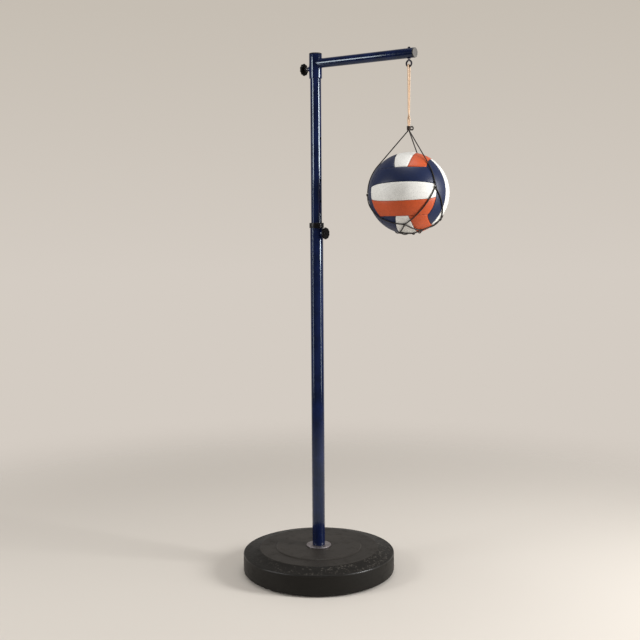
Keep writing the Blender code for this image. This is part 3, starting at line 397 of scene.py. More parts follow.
ALONG_X = turned_by(90, "Y")
AGAINST_X = turned_by(-90, "Y")
TETHER_PLACE = Matrix.Translation(TETHER_LINE)
BALL_TURNS = turned_by(BALL_TURN, "Z") @ turned_by(-BALL_TILT, "X") @ turned_by(-BALL_LEAN, "Y")
BALL_PLACE = Matrix.Translation(BALL_CENTRE) @ BALL_TURNS
VALVE_PLACE = BALL_PLACE @ turned_by(-90, "X")


def across_mast(height, way):
    """The place of a piece that lies along X, or against it, at this height."""
    return Matrix.Translation((0, 0, height)) @ way


def in_scene(name, data):
    """A new object for a mesh, curve, lamp or camera, in the scene."""
    made = bpy.data.objects.new(name, data)
    bpy.context.scene.collection.objects.link(made)
    return made


def set_camera():
    """The photograph's camera, with its slight roll. Its level ways to the right and back are returned."""
    lens = bpy.data.cameras.new("photo_camera")
    lens.sensor_width = SENSOR_WIDTH
    lens.lens = SENSOR_WIDTH * FOCAL_PIXELS / PICTURE_PIXELS
    camera = in_scene("photo_camera", lens)
    turn = turned_by(CAMERA_AZIMUTH, "Z") @ turned_by(90 - CAMERA_DIP, "X") @ turned_by(CAMERA_ROLL, "Z")
    camera.matrix_world = Matrix.Translation(CAMERA_PLACE) @ turn
    bpy.context.scene.camera = camera
    return [Vector((turn[0][column], turn[1][column], 0)).normalized() for column in (0, 2)]


# Finishes


def linear(colour):
    """A screen colour, 0 to 255, as the shader wants it."""
    shares = [value / 255 for value in colour]
    return (*[s / 12.92 if s <= 0.04045 else ((s + 0.055) / 1.055) ** 2.4 for s in shares], 1)


def shader_of(finish):
    return finish.node_tree.nodes["Principled BSDF"]


def new_finish(name, roughness, shine=0.5, others=None):
    """A Principled material, with the shader values that are the same all over."""
    made = bpy.data.materials.new(name)
    made.use_nodes = True
    values = {"Roughness": roughness, "Specular IOR Level": shine, **(others or {})}
    for socket, value in values.items():
        shader_of(made).inputs[socket].default_value = value
    return made


def add_node(tree, kind, inputs, **settings):
    """A node with its settings, and its inputs by name: values, or other nodes' outputs."""
    node = tree.nodes.new("ShaderNode" + kind)
    for setting, value in settings.items():
        setattr(node, setting, value)
    for key, value in inputs.items():
        if isinstance(value, bpy.types.NodeSocket):
            tree.links.new(value, node.inputs[key])
        else:
            node.inputs[key].default_value = value
    return node


def place_on(finish, stretch=(1, 1, 1)):
    """Where a point lies on the piece, stretched on each axis."""
    source = add_node(finish.node_tree, "TexCoord", {}).outputs["Object"]
    return add_node(finish.node_tree, "Mapping", {"Vector": source, "Scale": stretch}).outputs["Vector"]


def ways_of(place):
    return add_node(place.id_data, "SeparateXYZ", {0: place}).outputs


def cloud(place, scale, detail=3.0, roughness=0.55):
    inputs = {"Vector": place, "Scale": scale, "Detail": detail, "Roughness": roughness}
    return add_node(place.id_data, "TexNoise", inputs).outputs["Fac"]


def pebbles(place, scale):
    """Rounded cells: 0 at a cell's middle, about 1 at its edge."""
    inputs = {"Vector": place, "Scale": scale, "Smoothness": 0.35}
    return add_node(place.id_data, "TexVoronoi", inputs, feature="SMOOTH_F1").outputs["Distance"]


def graded(value, low, high, first=0.0, last=1.0, **settings):
    inputs = {"Value": value, "From Min": low, "From Max": high, "To Min": first, "To Max": last}
    return add_node(value.id_data, "MapRange", inputs, **settings).outputs["Result"]


def between(value, low, high):
    """1 in the middle of the range, and 0 at its ends and outside it."""
    middle = (low + high) / 2
    rising = graded(value, low, middle)
    return worked("MULTIPLY", rising, graded(value, middle, high, 1.0, 0.0))


def worked(operation, first, second=0.0):
    return add_node(first.id_data, "Math", {0: first, 1: second}, operation=operation).outputs[0]


def colour_between(share, first, last):
    """A blend of two screen colours; the first may also be another node's colour."""
    first = first if isinstance(first, bpy.types.NodeSocket) else linear(first)
    inputs = {0: share, 6: first, 7: linear(last)}
    return add_node(share.id_data, "Mix", inputs, data_type="RGBA").outputs[2]


def relief(height, depth, under=None):
    """Bumps of this depth in metres, over others if there are any."""
    inputs = {"Height": height, "Distance": depth, "Strength": 1.0}
    if under:
        inputs["Normal"] = under
    return add_node(height.id_data, "Bump", inputs).outputs["Normal"]


def drive(finish, **sockets):
    """Links nodes to the shader: colour, roughness, normal or shine."""
    names = {"colour": "Base Color", "shine": "Specular IOR Level"}
    for socket, output in sockets.items():
        name = names.get(socket, socket.capitalize())
        finish.node_tree.links.new(output, shader_of(finish).inputs[name])
    return finish


def braid(finish):
    """The crossed yarns of a braided cord, from its own coordinates: 0 in the gaps, 1 on the yarns."""
    along, round_cord, _ = ways_of(add_node(finish.node_tree, "TexCoord", {}).outputs["UV"])
    waves = []
    for operation in ("ADD", "SUBTRACT"):
        slant = worked(operation, along, round_cord)
        waves.append(worked("SINE", worked("MULTIPLY", slant, FULL_TURN)))
    return graded(worked("MULTIPLY", *waves), -1.0, 1.0)


def make_powder_coat():
    others = {"Specular Tint": COAT_TINT, "Coat Weight": 0.15, "Coat Roughness": 0.06}
    finish = new_finish("navy_powder_coat", 0.16, 0.44, others)
    place = place_on(finish)
    drift = graded(cloud(place, 26), 0.35, 0.65)
    handling = cloud(place_on(finish, (40, 40, 7)), 1.0, 3.0)
    orange_peel = cloud(place, 420, 1.0)
    return drive(
        finish,
        colour=colour_between(drift, NAVY_COAT_DEEP, NAVY_COAT),
        roughness=graded(handling, 0.4, 0.75, 0.115, 0.13),
        normal=relief(orange_peel, 0.0000003),
    )


def make_base_rubber(name, coarse):
    """Moulded rubber, paler towards its top with dust and painted top light, darkened at its foot with
    painted shade, and smoother along the worn shoulder.
    """
    finish = new_finish(name, 0.6, RUBBER_SHINE)
    place = place_on(finish)
    across, _, height = ways_of(place)
    # Paler with height: dust, and painted light on the upward faces
    dust_and_top_light = graded(height, BASE_SIDE_HEIGHT, DISC_TOP)
    blotches = graded(cloud(place, 18, 5.0), 0.36, 0.66, 0.8, 1.0)
    dust_and_top_light = worked("MULTIPLY", dust_and_top_light, blotches)
    shoulder = between(height, BASE_SIDE_HEIGHT - BASE_SHOULDER_ROUND, BASE_SIDE_HEIGHT + WORN_ABOVE_SHOULDER)
    disc_edge = between(height, BASE_TOP_HEIGHT + DISC_RISE / 2, DISC_TOP)
    edges = worked("ADD", shoulder, disc_edge)
    scuffs = cloud(place_on(finish, (38, 38, 60)), 1.0, 6.0, 0.7)
    rough = graded(scuffs, 0.5, 0.75, 0.5, 0.7)
    rough = worked("SUBTRACT", rough, worked("MULTIPLY", edges, 0.2))
    normal = relief(cloud(place, 1500, 2.0), 0.00005)
    # Painted shade: the foot is darkened up to this height, standing in for the shadow under the lifted rim
    foot = graded(height, BASE_RIM_LIFT, BASE_RIM_LIFT + PAINTED_FOOT_SHADE_HEIGHT)
    side_tone_with_painted_shade = colour_between(foot, BASE_FOOT_PAINTED_SHADE_TONE, BASE_TONE)
    tone = colour_between(dust_and_top_light, side_tone_with_painted_shade, BASE_DUST_AND_TOP_LIGHT_TONE)
    if coarse:
        # On the band the grain's tops are paler: wear, and painted glints, painted stronger towards +X where
        # the right lamp falls
        grain = graded(pebbles(place, GRAIN_SCALE), 0.1, 0.6, 1.0, 0.0)
        strength = graded(across, -BASE_RADIUS, BASE_RADIUS, 0.25, 1.0)
        patches = graded(cloud(place, 48, 2.0), 0.4, 0.55, 0.2, 1.0)
        grain = worked("MULTIPLY", grain, worked("MULTIPLY", patches, strength))
        normal = relief(grain, GRAIN_DEPTH, under=normal)
        worn = graded(grain, 0.2, 0.8)
        tone = colour_between(worn, BASE_TONE, GRAIN_WEAR_AND_PAINTED_GLINT_TONE)
    shine = graded(edges, 0.0, 1.0, RUBBER_SHINE, WORN_RUBBER_SHINE)
    return drive(finish, colour=tone, roughness=rough, normal=normal, shine=shine)


def make_metal(name, tone, dark_tone, roughness):
    finish = new_finish(name, roughness, others={"Metallic": 1.0})
    streaks = cloud(place_on(finish, (300, 300, 40)), 3.0, 4.0)
    bloom = graded(cloud(place_on(finish), 90, 4.0), 0.35, 0.65)
    return drive(
        finish,
        colour=colour_between(bloom, dark_tone, tone),
        roughness=graded(streaks, 0.3, 0.7, roughness - 0.08, roughness + 0.12),
        normal=relief(streaks, 0.00001),
    )


def make_plastic(name, tone, dark_tone, roughness, shine):
    finish = new_finish(name, roughness, shine)
    place = place_on(finish)
    drift = graded(cloud(place, 70, 3.0), 0.35, 0.65)
    grain = cloud(place, 1300, 2.0)
    return drive(
        finish,
        colour=colour_between(drift, dark_tone, tone),
        roughness=graded(grain, 0.3, 0.7, roughness - 0.06, roughness + 0.08),
        normal=relief(grain, 0.000008),
    )


def make_cord(name, tone, dark_tone, roughness, depth, sheen):
    finish = new_finish(name, roughness, others={"Sheen Weight": sheen, "Sheen Roughness": 0.5})
    yarns = braid(finish)
    fuzz = cloud(place_on(finish), 2200, 2.0)
    normal = relief(fuzz, depth / 4, under=relief(yarns, depth))
    # Painted shade: the braid's gaps take the darker tone
    return drive(finish, colour=colour_between(graded(yarns, 0.25, 0.75), dark_tone, tone), normal=normal)


def make_leather(name, tone):
    """The ball's pebbled cover, darker with painted shade in the grain's creases, and a little darker where
    it is handled.
    """
    finish = new_finish(name, 0.45, 0.35)
    place = place_on(finish)
    pebble = pebbles(place, 720)
    handled = graded(cloud(place, 22, 5.0), 0.4, 0.72)
    # Painted shade: the grain's creases, at the cells' edges, are darkened in the colour
    crease_shade = graded(pebble, 0.45, 0.85)
    share = worked("ADD", worked("MULTIPLY", handled, 0.45), crease_shade)
    darker = tuple(value * HANDLING_AND_CREASE_SHADE_SHARE for value in tone)
    pores = relief(cloud(place, 2600, 2.0), 0.00002)
    return drive(
        finish,
        colour=colour_between(share, tone, darker),
        roughness=graded(handled, 0.0, 1.0, 0.4, 0.5),
        normal=relief(graded(pebble, 0.2, 0.8, 1.0, 0.0), 0.00008, under=pores),
    )


# Shapes


def mesh_of(name, shape):
    """The bmesh as a mesh; the bmesh itself goes."""
    mesh = bpy.data.meshes.new(name)
    shape.to_mesh(mesh)
    shape.free()
    return mesh


def finished_mesh(name, shape, place=None, merge=SHAPE_MERGE):
    """Closes a bmesh and moves it to its place."""
    bmesh.ops.remove_doubles(shape, verts=shape.verts, dist=merge)
    if place:
        bmesh.ops.transform(shape, matrix=place, verts=shape.verts)
    bmesh.ops.recalc_face_normals(shape, faces=shape.faces)
    return mesh_of(name, shape)


def rounded(corners):
    """The outline through the corners, each (radius, height) or (radius, height, fillet)."""
    points = []
    for index, corner in enumerate(corners):
        here = Vector(corner[:2])
        if len(corner) == 2:
            points.append(here)
            continue
        fillet = corner[2]
        back = (Vector(corners[index - 1][:2]) - here).normalized()
        ahead = (Vector(corners[(index + 1) % len(corners)][:2]) - here).normalized()
        half = back.angle(ahead) / 2
        centre = here + (back + ahead).normalized() * fillet / math.sin(half)
        start = here + back * fillet / math.tan(half) - centre
        end = here + ahead * fillet / math.tan(half) - centre
        sweep = math.atan2(start.x * end.y - start.y * end.x, start.dot(end))
        for step in range(FILLET_STEPS + 1):
            points.append(centre + Matrix.Rotation(sweep * step / FILLET_STEPS, 2) @ start)
    return points


def turned(name, corners, sides=TUBE_SIDES, place=None):
    """A turned shape: a ring from a closed outline, or a solid from one that starts and ends on the axis."""
    shape = bmesh.new()
    outline = [shape.verts.new((point.x, 0, point.y)) for point in rounded(corners)]
    on_axis = corners[0][0] == 0
    following = outline[1:] if on_axis else outline[1:] + outline[:1]
    edges = [shape.edges.new(pair) for pair in zip(outline, following)]
    sweep = {"axis": UP, "angle": FULL_TURN, "steps": sides}
    bmesh.ops.spin(shape, geom=outline + edges, use_merge=True, **sweep)
    return finished_mesh(name, shape, place)


def pipe(name, radius, bore, low, high, sides=TUBE_SIDES, lip=TUBE_LIP, place=None):
    """A tube with softened ends."""
    corners = [(bore, low), (radius, low, lip), (radius, high, lip), (bore, high)]
    return turned(name, corners, sides, place)


def rod(name, radius, low, high, sides=SMALL_SIDES, place=None):
    corners = [(0, low), (radius, low), (radius, high), (0, high)]
    return turned(name, corners, sides, place)


def threaded_rod(name, radius, low, high, pitch, depth, place=None):
    """A stud with its thread's crests and roots, and a chamfer at each end."""
    turns = max(1, round((high - low - 2 * depth) / pitch))
    step = (high - low - 2 * depth) / turns
    corners = [(0, low), (radius - depth, low)]
    for turn in range(turns):
        foot = low + depth + turn * step
        corners.append((radius - depth, foot))
        corners += [(radius, foot + share * step) for share in THREAD_CREST]
    corners += [(radius - depth, high - depth), (radius - depth, high), (0, high)]
    return turned(name, corners, SMALL_SIDES, place)


def carve(mesh, cutter, operation="DIFFERENCE"):
    """Cuts one mesh with another, or joins it to it, and returns the result."""
    piece = in_scene(mesh.name, mesh)
    tool = in_scene(cutter.name, cutter)
    change = piece.modifiers.new("carve", "BOOLEAN")
    change.operation = operation
    change.object = tool
    change.solver = "EXACT"
    made = settled_mesh(piece)
    bpy.data.objects.remove(tool, do_unlink=True)
    return made


def settled_mesh(piece):
    """The piece's mesh with its modifiers worked in; the object itself goes."""
    bpy.context.view_layer.update()
    graph = bpy.context.evaluated_depsgraph_get()
    made = bpy.data.meshes.new_from_object(piece.evaluated_get(graph))
    made.name = piece.name
    bpy.data.objects.remove(piece, do_unlink=True)
    return made


def join_shapes(name, meshes):
    """Several meshes as one, with their cord coordinates kept."""
    shape = bmesh.new()
    for mesh in meshes:
        shape.from_mesh(mesh)
    return mesh_of(name, shape)


def soften(shape, edges, width, steps):
    """Rounds these edges of a bmesh."""
    bmesh.ops.bevel(shape, geom=edges, offset=width, affect="EDGES", segments=steps, profile=0.5, material=-1)


def cord_mesh(name, points, radius, braid_size=None, radii=None, closed=False, roundness=CORD_ROUNDNESS):
    """A round cord through the points. braid_size, its diamonds' length and count, sets its coordinates."""
    curve = bpy.data.curves.new(name, "CURVE")
    curve.dimensions = "3D"
    curve.bevel_depth = radius
    curve.bevel_resolution = roundness
    curve.use_fill_caps = not closed
    spline = curve.splines.new("POLY")
    spline.points.add(len(points) - 1)
    for index, point in enumerate(points):
        spline.points[index].co = (*point, 1)
        spline.points[index].radius = radii[index] if radii else 1
    spline.use_cyclic_u = closed
    length = spline.calc_length()
    mesh = settled_mesh(in_scene(name, curve))
    if braid_size:
        diamond, count = braid_size
        for corner in mesh.uv_layers[0].data:
            corner.uv = (corner.uv[0] * length / diamond, corner.uv[1] * count)
    shape = bmesh.new()
    shape.from_mesh(mesh)
    return finished_mesh(name, shape, merge=CORD_MERGE)


def show(name, mesh, finishes, body, node):
    """A new piece on its body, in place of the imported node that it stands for."""
    mesh.shade_smooth()
    mesh.set_sharp_from_angle(angle=math.radians(SMOOTH_ANGLE))
    piece = in_scene(name, mesh)
    finishes = finishes if isinstance(finishes, list) else [finishes]
    choices = [min(face.material_index, len(finishes) - 1) for face in mesh.polygons]
    mesh.materials.clear()
    for finish in finishes:
        mesh.materials.append(finish)
    mesh.polygons.foreach_set("material_index", choices)
    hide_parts(node)
    if body:
        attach(piece, body)
    return piece


def heading(compass):
    """The level way at this compass angle."""
    return Vector((math.cos(math.radians(compass)), math.sin(math.radians(compass)), 0))


def on_ball(compass, down, reach):
    """A point at this compass angle and angle from the top, at reach from the ball's centre."""
    down = math.radians(down)
    return BALL_CENTRE + reach * (heading(compass) * math.sin(down) + UP * math.cos(down))


# Cords


def rounded_end(tip, way):
    """The rings of a round end of the elastic beyond its tip, from the outermost, and their thickness."""
    lifts = [math.radians(lift) for lift in DOME_LIFTS]
    points = [tip + way * (ELASTIC_RADIUS * math.sin(lift)) for lift in lifts]
    return points, [DOME_FULLNESS * math.cos(lift) for lift in lifts]


def elastic_bight():
    """The elastic's bend over the eye's wire, with round ends that turn inside the strands."""
    near, thin = rounded_end(Vector((EYE_X, BIGHT_RADIUS, EYE_PIVOT_HEIGHT)), -UP)
    middle = []
    for step in range(BIGHT_STEPS + 1):
        angle = math.pi * step / BIGHT_STEPS
        across = BIGHT_RADIUS * math.cos(angle)
        middle.append(Vector((EYE_X, across, EYE_PIVOT_HEIGHT + BIGHT_RADIUS * math.sin(angle))))
    far = [Vector((EYE_X, -point.y, point.z)) for point in reversed(near)]
    radii = thin + [1] * len(middle) + thin[::-1]
    mesh = cord_mesh("elastic_bight", near + middle + far, ELASTIC_RADIUS, ELASTIC_BRAID, radii)
    show("elastic_bight", mesh, ELASTIC, "tether_loop", "tether_bight")


def elastic_strand(name, side, node):
    """One strand of the elastic: down from the eye, drawing in, then half a turn about the other strand."""
    top = EYE_PIVOT_HEIGHT
    foot = CLAMP_TOP - CLAMP_MOUTH_DEPTH + SEAT_GAP
    route = []
    for step in range(ELASTIC_STEPS + 1):
        share = step / ELASTIC_STEPS
        twist = min(1, max(0, (share - ELASTIC_TWIST_START) / (1 - ELASTIC_TWIST_START)))
        angle = math.pi / 2 + side + math.pi * twist * twist * (3 - 2 * twist)
        drawn_in = min(1, share / ELASTIC_DRAWN_IN_AT)
        reach = BIGHT_RADIUS + (ELASTIC_SPREAD_AT_CLAMP - BIGHT_RADIUS) * drawn_in
        height = top + (foot - top) * share
        route.append(Vector((EYE_X + reach * math.cos(angle), reach * math.sin(angle), height)))
    dome, thin = rounded_end(route[0], UP)
    radii = thin + [1] * len(route)
    mesh = cord_mesh(name, dome + route, ELASTIC_RADIUS, ELASTIC_BRAID, radii)
    piece = show(name, mesh, ELASTIC, None, node)
    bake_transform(piece)


def arc_points(start, end, reach, trim_end=0.0):
    """Points of the shortest way over the ball between two knots, less what the last knot takes."""
    first = (on_ball(*start, 1) - BALL_CENTRE).normalized()
    last = (on_ball(*end, 1) - BALL_CENTRE).normalized()
    span = first.angle(last)
    steps = max(2, math.ceil(span * reach / NET_CORD_STEP))
    whole = 1 - trim_end / reach / span
    points = []
    for step in range(steps + 1):
        share = whole * step / steps
        weight_last = math.sin(share * span) / math.sin(span)
        weight_first = math.sin((1 - share) * span) / math.sin(span)
        points.append(BALL_CENTRE + reach * (weight_first * first + weight_last * last))
    return points


def net_strand(name, compass, down, reach):
    """A cord from the clamp's foot, straight to where it meets the ball, then down to its knot."""
    start = TETHER_LINE + heading(compass) * NET_CORD_SPREAD_AT_CLAMP
    start.z = CLAMP_FOOT + CLAMP_MOUTH_DEPTH - SEAT_GAP
    bend = start.copy()
    bend.z = CLAMP_FOOT - NET_BEND_BELOW_CLAMP
    from_centre = bend - BALL_CENTRE
    lean = from_centre.angle(UP)
    meet = math.degrees(lean + math.acos(reach / from_centre.length))
    touch = on_ball(compass, meet, reach)
    route = [start, bend]
    steps = math.ceil((touch - bend).length / NET_CORD_STEP)
    for step in range(1, steps):
        route.append(bend.lerp(touch, step / steps))
    route += arc_points((compass, meet), (compass, down), reach, trim_end=KNOT_RADIUS)
    mesh = cord_mesh(name, route, NET_CORD_RADIUS, NET_BRAID)
    piece = show(name, mesh, NET_CORD, "ball", name.replace("_cord", "_strand"))


def knot_points(compass, down):
    """The line of a drawn-up overhand knot, lying on the ball."""
    centre = on_ball(compass, down, BALL_RADIUS + SEAT_GAP + KNOT_HEIGHT)
    out = (centre - BALL_CENTRE).normalized()
    turn = out.to_track_quat("Z", "Y").to_matrix()
    points = []
    for step in range(KNOT_STEPS):
        angle = FULL_TURN * step / KNOT_STEPS
        across = KNOT_LOOP * (math.sin(angle) + 2 * math.sin(2 * angle))
        along = KNOT_LOOP * (math.cos(angle) - 2 * math.cos(2 * angle))
        rise = -KNOT_RISE * math.sin(3 * angle)
        points.append(centre + turn @ Vector((across, along, rise)))
    return points


def make_net():
    """The net's cords over the ball, and a knot where they meet."""
    reach = BALL_RADIUS + SEAT_GAP + NET_CORD_RADIUS + NET_CORD_SAG
    for knot in TOP_KNOTS:
        net_strand(f"net_cord_{knot}", *KNOTS[knot], reach)
    runs = [
        cord_mesh("net_run", arc_points(KNOTS[start], KNOTS[end], reach), NET_CORD_RADIUS, NET_BRAID)
        for start, ends in NET_RUNS.items()
        for end in ends
    ]
    show("net_runs", join_shapes("net_runs", runs), NET_CORD, "ball", "ball_net")
    look = {"braid_size": NET_BRAID, "closed": True, "roundness": KNOT_ROUNDNESS}
    knots = [cord_mesh("net_knot", knot_points(*spot), KNOT_CORD_RADIUS, **look) for spot in KNOTS.values()]
    show("net_knots", join_shapes("net_knots", knots), NET_CORD, "ball", "ball_net")


def make_clamp():
    """The barrel that grips the elastic and the net's cords, and the cord loop at its side."""
    middle = (CLAMP_TOP + CLAMP_FOOT) / 2
    waist = (CLAMP_RADIUS + CLAMP_FOOT_RADIUS) / 2
    edge = CLAMP_EDGE_ROUND
    barrel = [
        (0, CLAMP_FOOT + CLAMP_MOUTH_DEPTH),
        (CLAMP_MOUTH_RADIUS, CLAMP_FOOT + CLAMP_MOUTH_DEPTH),
        (CLAMP_MOUTH_RADIUS, CLAMP_FOOT, edge / 4),
        (CLAMP_FOOT_RADIUS, CLAMP_FOOT, edge / 4),
        (waist, middle - edge / 2),
        (waist - edge / 3, middle),
        (waist, middle + edge / 2),
        (CLAMP_RADIUS, CLAMP_TOP, edge / 2),
        (CLAMP_MOUTH_RADIUS, CLAMP_TOP, edge / 4),
        (CLAMP_MOUTH_RADIUS, CLAMP_TOP - CLAMP_MOUTH_DEPTH),
        (0, CLAMP_TOP - CLAMP_MOUTH_DEPTH),
    ]
    mesh = turned("clamp_barrel", barrel, SMALL_SIDES, TETHER_PLACE)
    show("clamp_barrel", mesh, CLAMP_PLASTIC, "clamp", "cord_clamp")
    reach = SIDE_LOOP_RADIUS * SIDE_LOOP_SLIMNESS
    centre_out = CLAMP_RADIUS + SEAT_GAP + (reach + SIDE_LOOP_CORD_RADIUS) / 2
    inner = CLAMP_RADIUS - SIDE_LOOP_INTO_CLAMP
    opening = math.acos(max(-SIDE_LOOP_MOST_CLOSED, (inner - centre_out) / reach))
    turn = turned_by(SIDE_LOOP_AZIMUTH, "Z")
    points = []
    for step in range(SIDE_LOOP_STEPS + 1):
        angle = opening * (2 * step / SIDE_LOOP_STEPS - 1)
        spot = Vector((centre_out + reach * math.cos(angle), 0, SIDE_LOOP_RADIUS * math.sin(angle)))
        points.append(turn @ spot + TETHER_LINE + UP * middle)
    loop = cord_mesh("clamp_loop", points, SIDE_LOOP_CORD_RADIUS, NET_BRAID)
    show("clamp_loop", loop, NET_CORD, "clamp", "clamp_side_loop")


# Base


def make_base():
    pocket = CORE_RADIUS + SEAT_GAP
    pocket_top = CORE_TOP + SEAT_GAP
    cover = [
        (PAD_RADIUS + SEAT_GAP, BASE_RIM_LIFT),
        (BASE_RADIUS, BASE_RIM_LIFT, BASE_FOOT_ROUND),
        (BASE_RADIUS, BASE_SIDE_HEIGHT, BASE_SHOULDER_ROUND),
        (BAND_INNER_RADIUS, BASE_TOP_HEIGHT - BAND_STEP),
        (BAND_INNER_RADIUS - BAND_STEP, BASE_TOP_HEIGHT, BAND_STEP / 2),
        (DISC_RADIUS + DISC_RISE, BASE_TOP_HEIGHT, DISC_RISE / 3),
        (DISC_RADIUS, DISC_TOP, DISC_RISE / 3),
        (BASE_BOLT_HOLE, DISC_TOP),
        (BASE_BOLT_HOLE, pocket_top),
        (pocket, pocket_top),
        (pocket, CORE_FOOT),
        (PAD_RADIUS + SEAT_GAP, CORE_FOOT),
    ]
    mesh = turned("base_moulding", cover, BASE_SIDES)
    for face in mesh.polygons:
        reach = face.center.to_2d().length
        slope = BAND_INNER_RADIUS < reach < BAND_OUTER_RADIUS and face.center.z > BASE_SIDE_HEIGHT
        face.material_index = 1 if slope else 0
    show("base_moulding", mesh, [BASE_RUBBER, BAND_RUBBER], "stand", "base_cover")
    pad = [(0, 0), (PAD_RADIUS, 0, PAD_THICKNESS / 5), (PAD_RADIUS, PAD_THICKNESS), (0, PAD_THICKNESS)]
    mesh = turned("floor_pad", pad, BASE_SIDES)
    show("floor_pad", mesh, BAND_RUBBER, "stand", "base_pad")
    flange = [
        (BASE_BOLT_HOLE, FLANGE_FOOT),
        (FLANGE_RADIUS, FLANGE_FOOT, FLANGE_CHAMFER / 3),
        (FLANGE_RADIUS, FLANGE_FOOT + FLANGE_THICKNESS, FLANGE_CHAMFER),
        (BASE_BOLT_HOLE, FLANGE_FOOT + FLANGE_THICKNESS),
    ]
    mesh = turned("foot_plate", flange)
    show("foot_plate", mesh, PLATED, "stand", "foot_flange")


# Mast


def screw_hole(tube_radius, height, direction):
    low, high = UPPER_TUBE_RADIUS - CUTTER_MARGIN, tube_radius + CUTTER_MARGIN
    return rod("screw_hole", SCREW_HOLE, low, high, place=across_mast(height, direction))


def weld_bead(name, tube_radius, branch_radius, height, direction):
    """A painted weld round a branch's foot, rippled as a welder leaves it."""
    points, radii = [], []
    for step in range(WELD_STEPS):
        angle = FULL_TURN * step / WELD_STEPS
        across = branch_radius * math.sin(angle)
        rise = branch_radius * math.cos(angle)
        out = math.sqrt(tube_radius**2 - across**2)
        points.append(Vector((out * direction, across, height + rise)))
        radii.append(1 + WELD_RIPPLE_SHARE * math.sin(angle * WELD_RIPPLES))
    return cord_mesh(name, points, WELD_RADIUS, radii=radii, closed=True, roundness=WELD_ROUNDNESS)


def threaded_boss(name, tube_radius, height, sign, body, node):
    """A boss welded to a tube, with its foot shaped to it."""
    place = across_mast(height, ALONG_X if sign > 0 else AGAINST_X)
    low = tube_radius - CUTTER_MARGIN
    boss = pipe(name, BOSS_RADIUS, SCREW_HOLE, low, tube_radius + BOSS_LENGTH, SMALL_SIDES, place=place)
    reach = BOSS_RADIUS + CUTTER_MARGIN
    saddle = rod("saddle", tube_radius, height - reach, height + reach, TUBE_SIDES)
    bead = weld_bead(name + "_weld", tube_radius, BOSS_RADIUS, height, sign)
    mesh = join_shapes(name, [carve(boss, saddle), bead])
    show(name, mesh, POWDER_COAT, body, node)


def make_lower_mast():
    tube = pipe("outer_tube", LOWER_TUBE_RADIUS, LOWER_TUBE_BORE, LOWER_TUBE_FOOT, LOWER_TUBE_TOP)
    tube = carve(tube, screw_hole(LOWER_TUBE_RADIUS, LOWER_SCREW_HEIGHT, ALONG_X))
    show("outer_tube", tube, POWDER_COAT, "stand", "lower_tube")
    skirt = LOWER_TUBE_BORE - SEAT_GAP
    outline = [
        (SLIDING_BORE, COLLAR_SEAT - COLLAR_SKIRT),
        (skirt, COLLAR_SEAT - COLLAR_SKIRT, TUBE_LIP),
        (skirt, COLLAR_SEAT),
        (COLLAR_RADIUS, COLLAR_SEAT, TUBE_LIP),
        (COLLAR_RADIUS, COLLAR_TOP, 3 * TUBE_LIP),
        (SLIDING_BORE, COLLAR_TOP, TUBE_LIP),
    ]
    hole = screw_hole(LOWER_TUBE_RADIUS, LOWER_SCREW_HEIGHT, ALONG_X)
    collar = carve(turned("guide_collar", outline), hole)
    show("guide_collar", collar, BLACK_PLASTIC, "stand", "mast_collar")
    threaded_boss("lower_screw_boss", LOWER_TUBE_RADIUS, LOWER_SCREW_HEIGHT, 1, "stand", "lower_boss")


def make_upper_mast():
    bore = UPPER_TUBE_RADIUS - TUBE_WALL
    tube = pipe("inner_tube", UPPER_TUBE_RADIUS, bore, UPPER_TUBE_FOOT, UPPER_TUBE_TOP)
    low, high = UPPER_TUBE_RADIUS - CUTTER_MARGIN, UPPER_TUBE_RADIUS + CUTTER_MARGIN
    holes = []
    for number in range(HEIGHT_HOLE_COUNT):
        height = SLEEVE_FOOT - TOP_HOLE_BELOW_SLEEVE - number * HEIGHT_HOLE_PITCH
        place = across_mast(height, ALONG_X)
        holes.append(rod("height_hole", HEIGHT_HOLE_RADIUS, low, high, place=place))
    tube = carve(tube, join_shapes("height_holes", holes))
    show("inner_tube", tube, POWDER_COAT, "upper_mast", "upper_tube")


# Hand screws


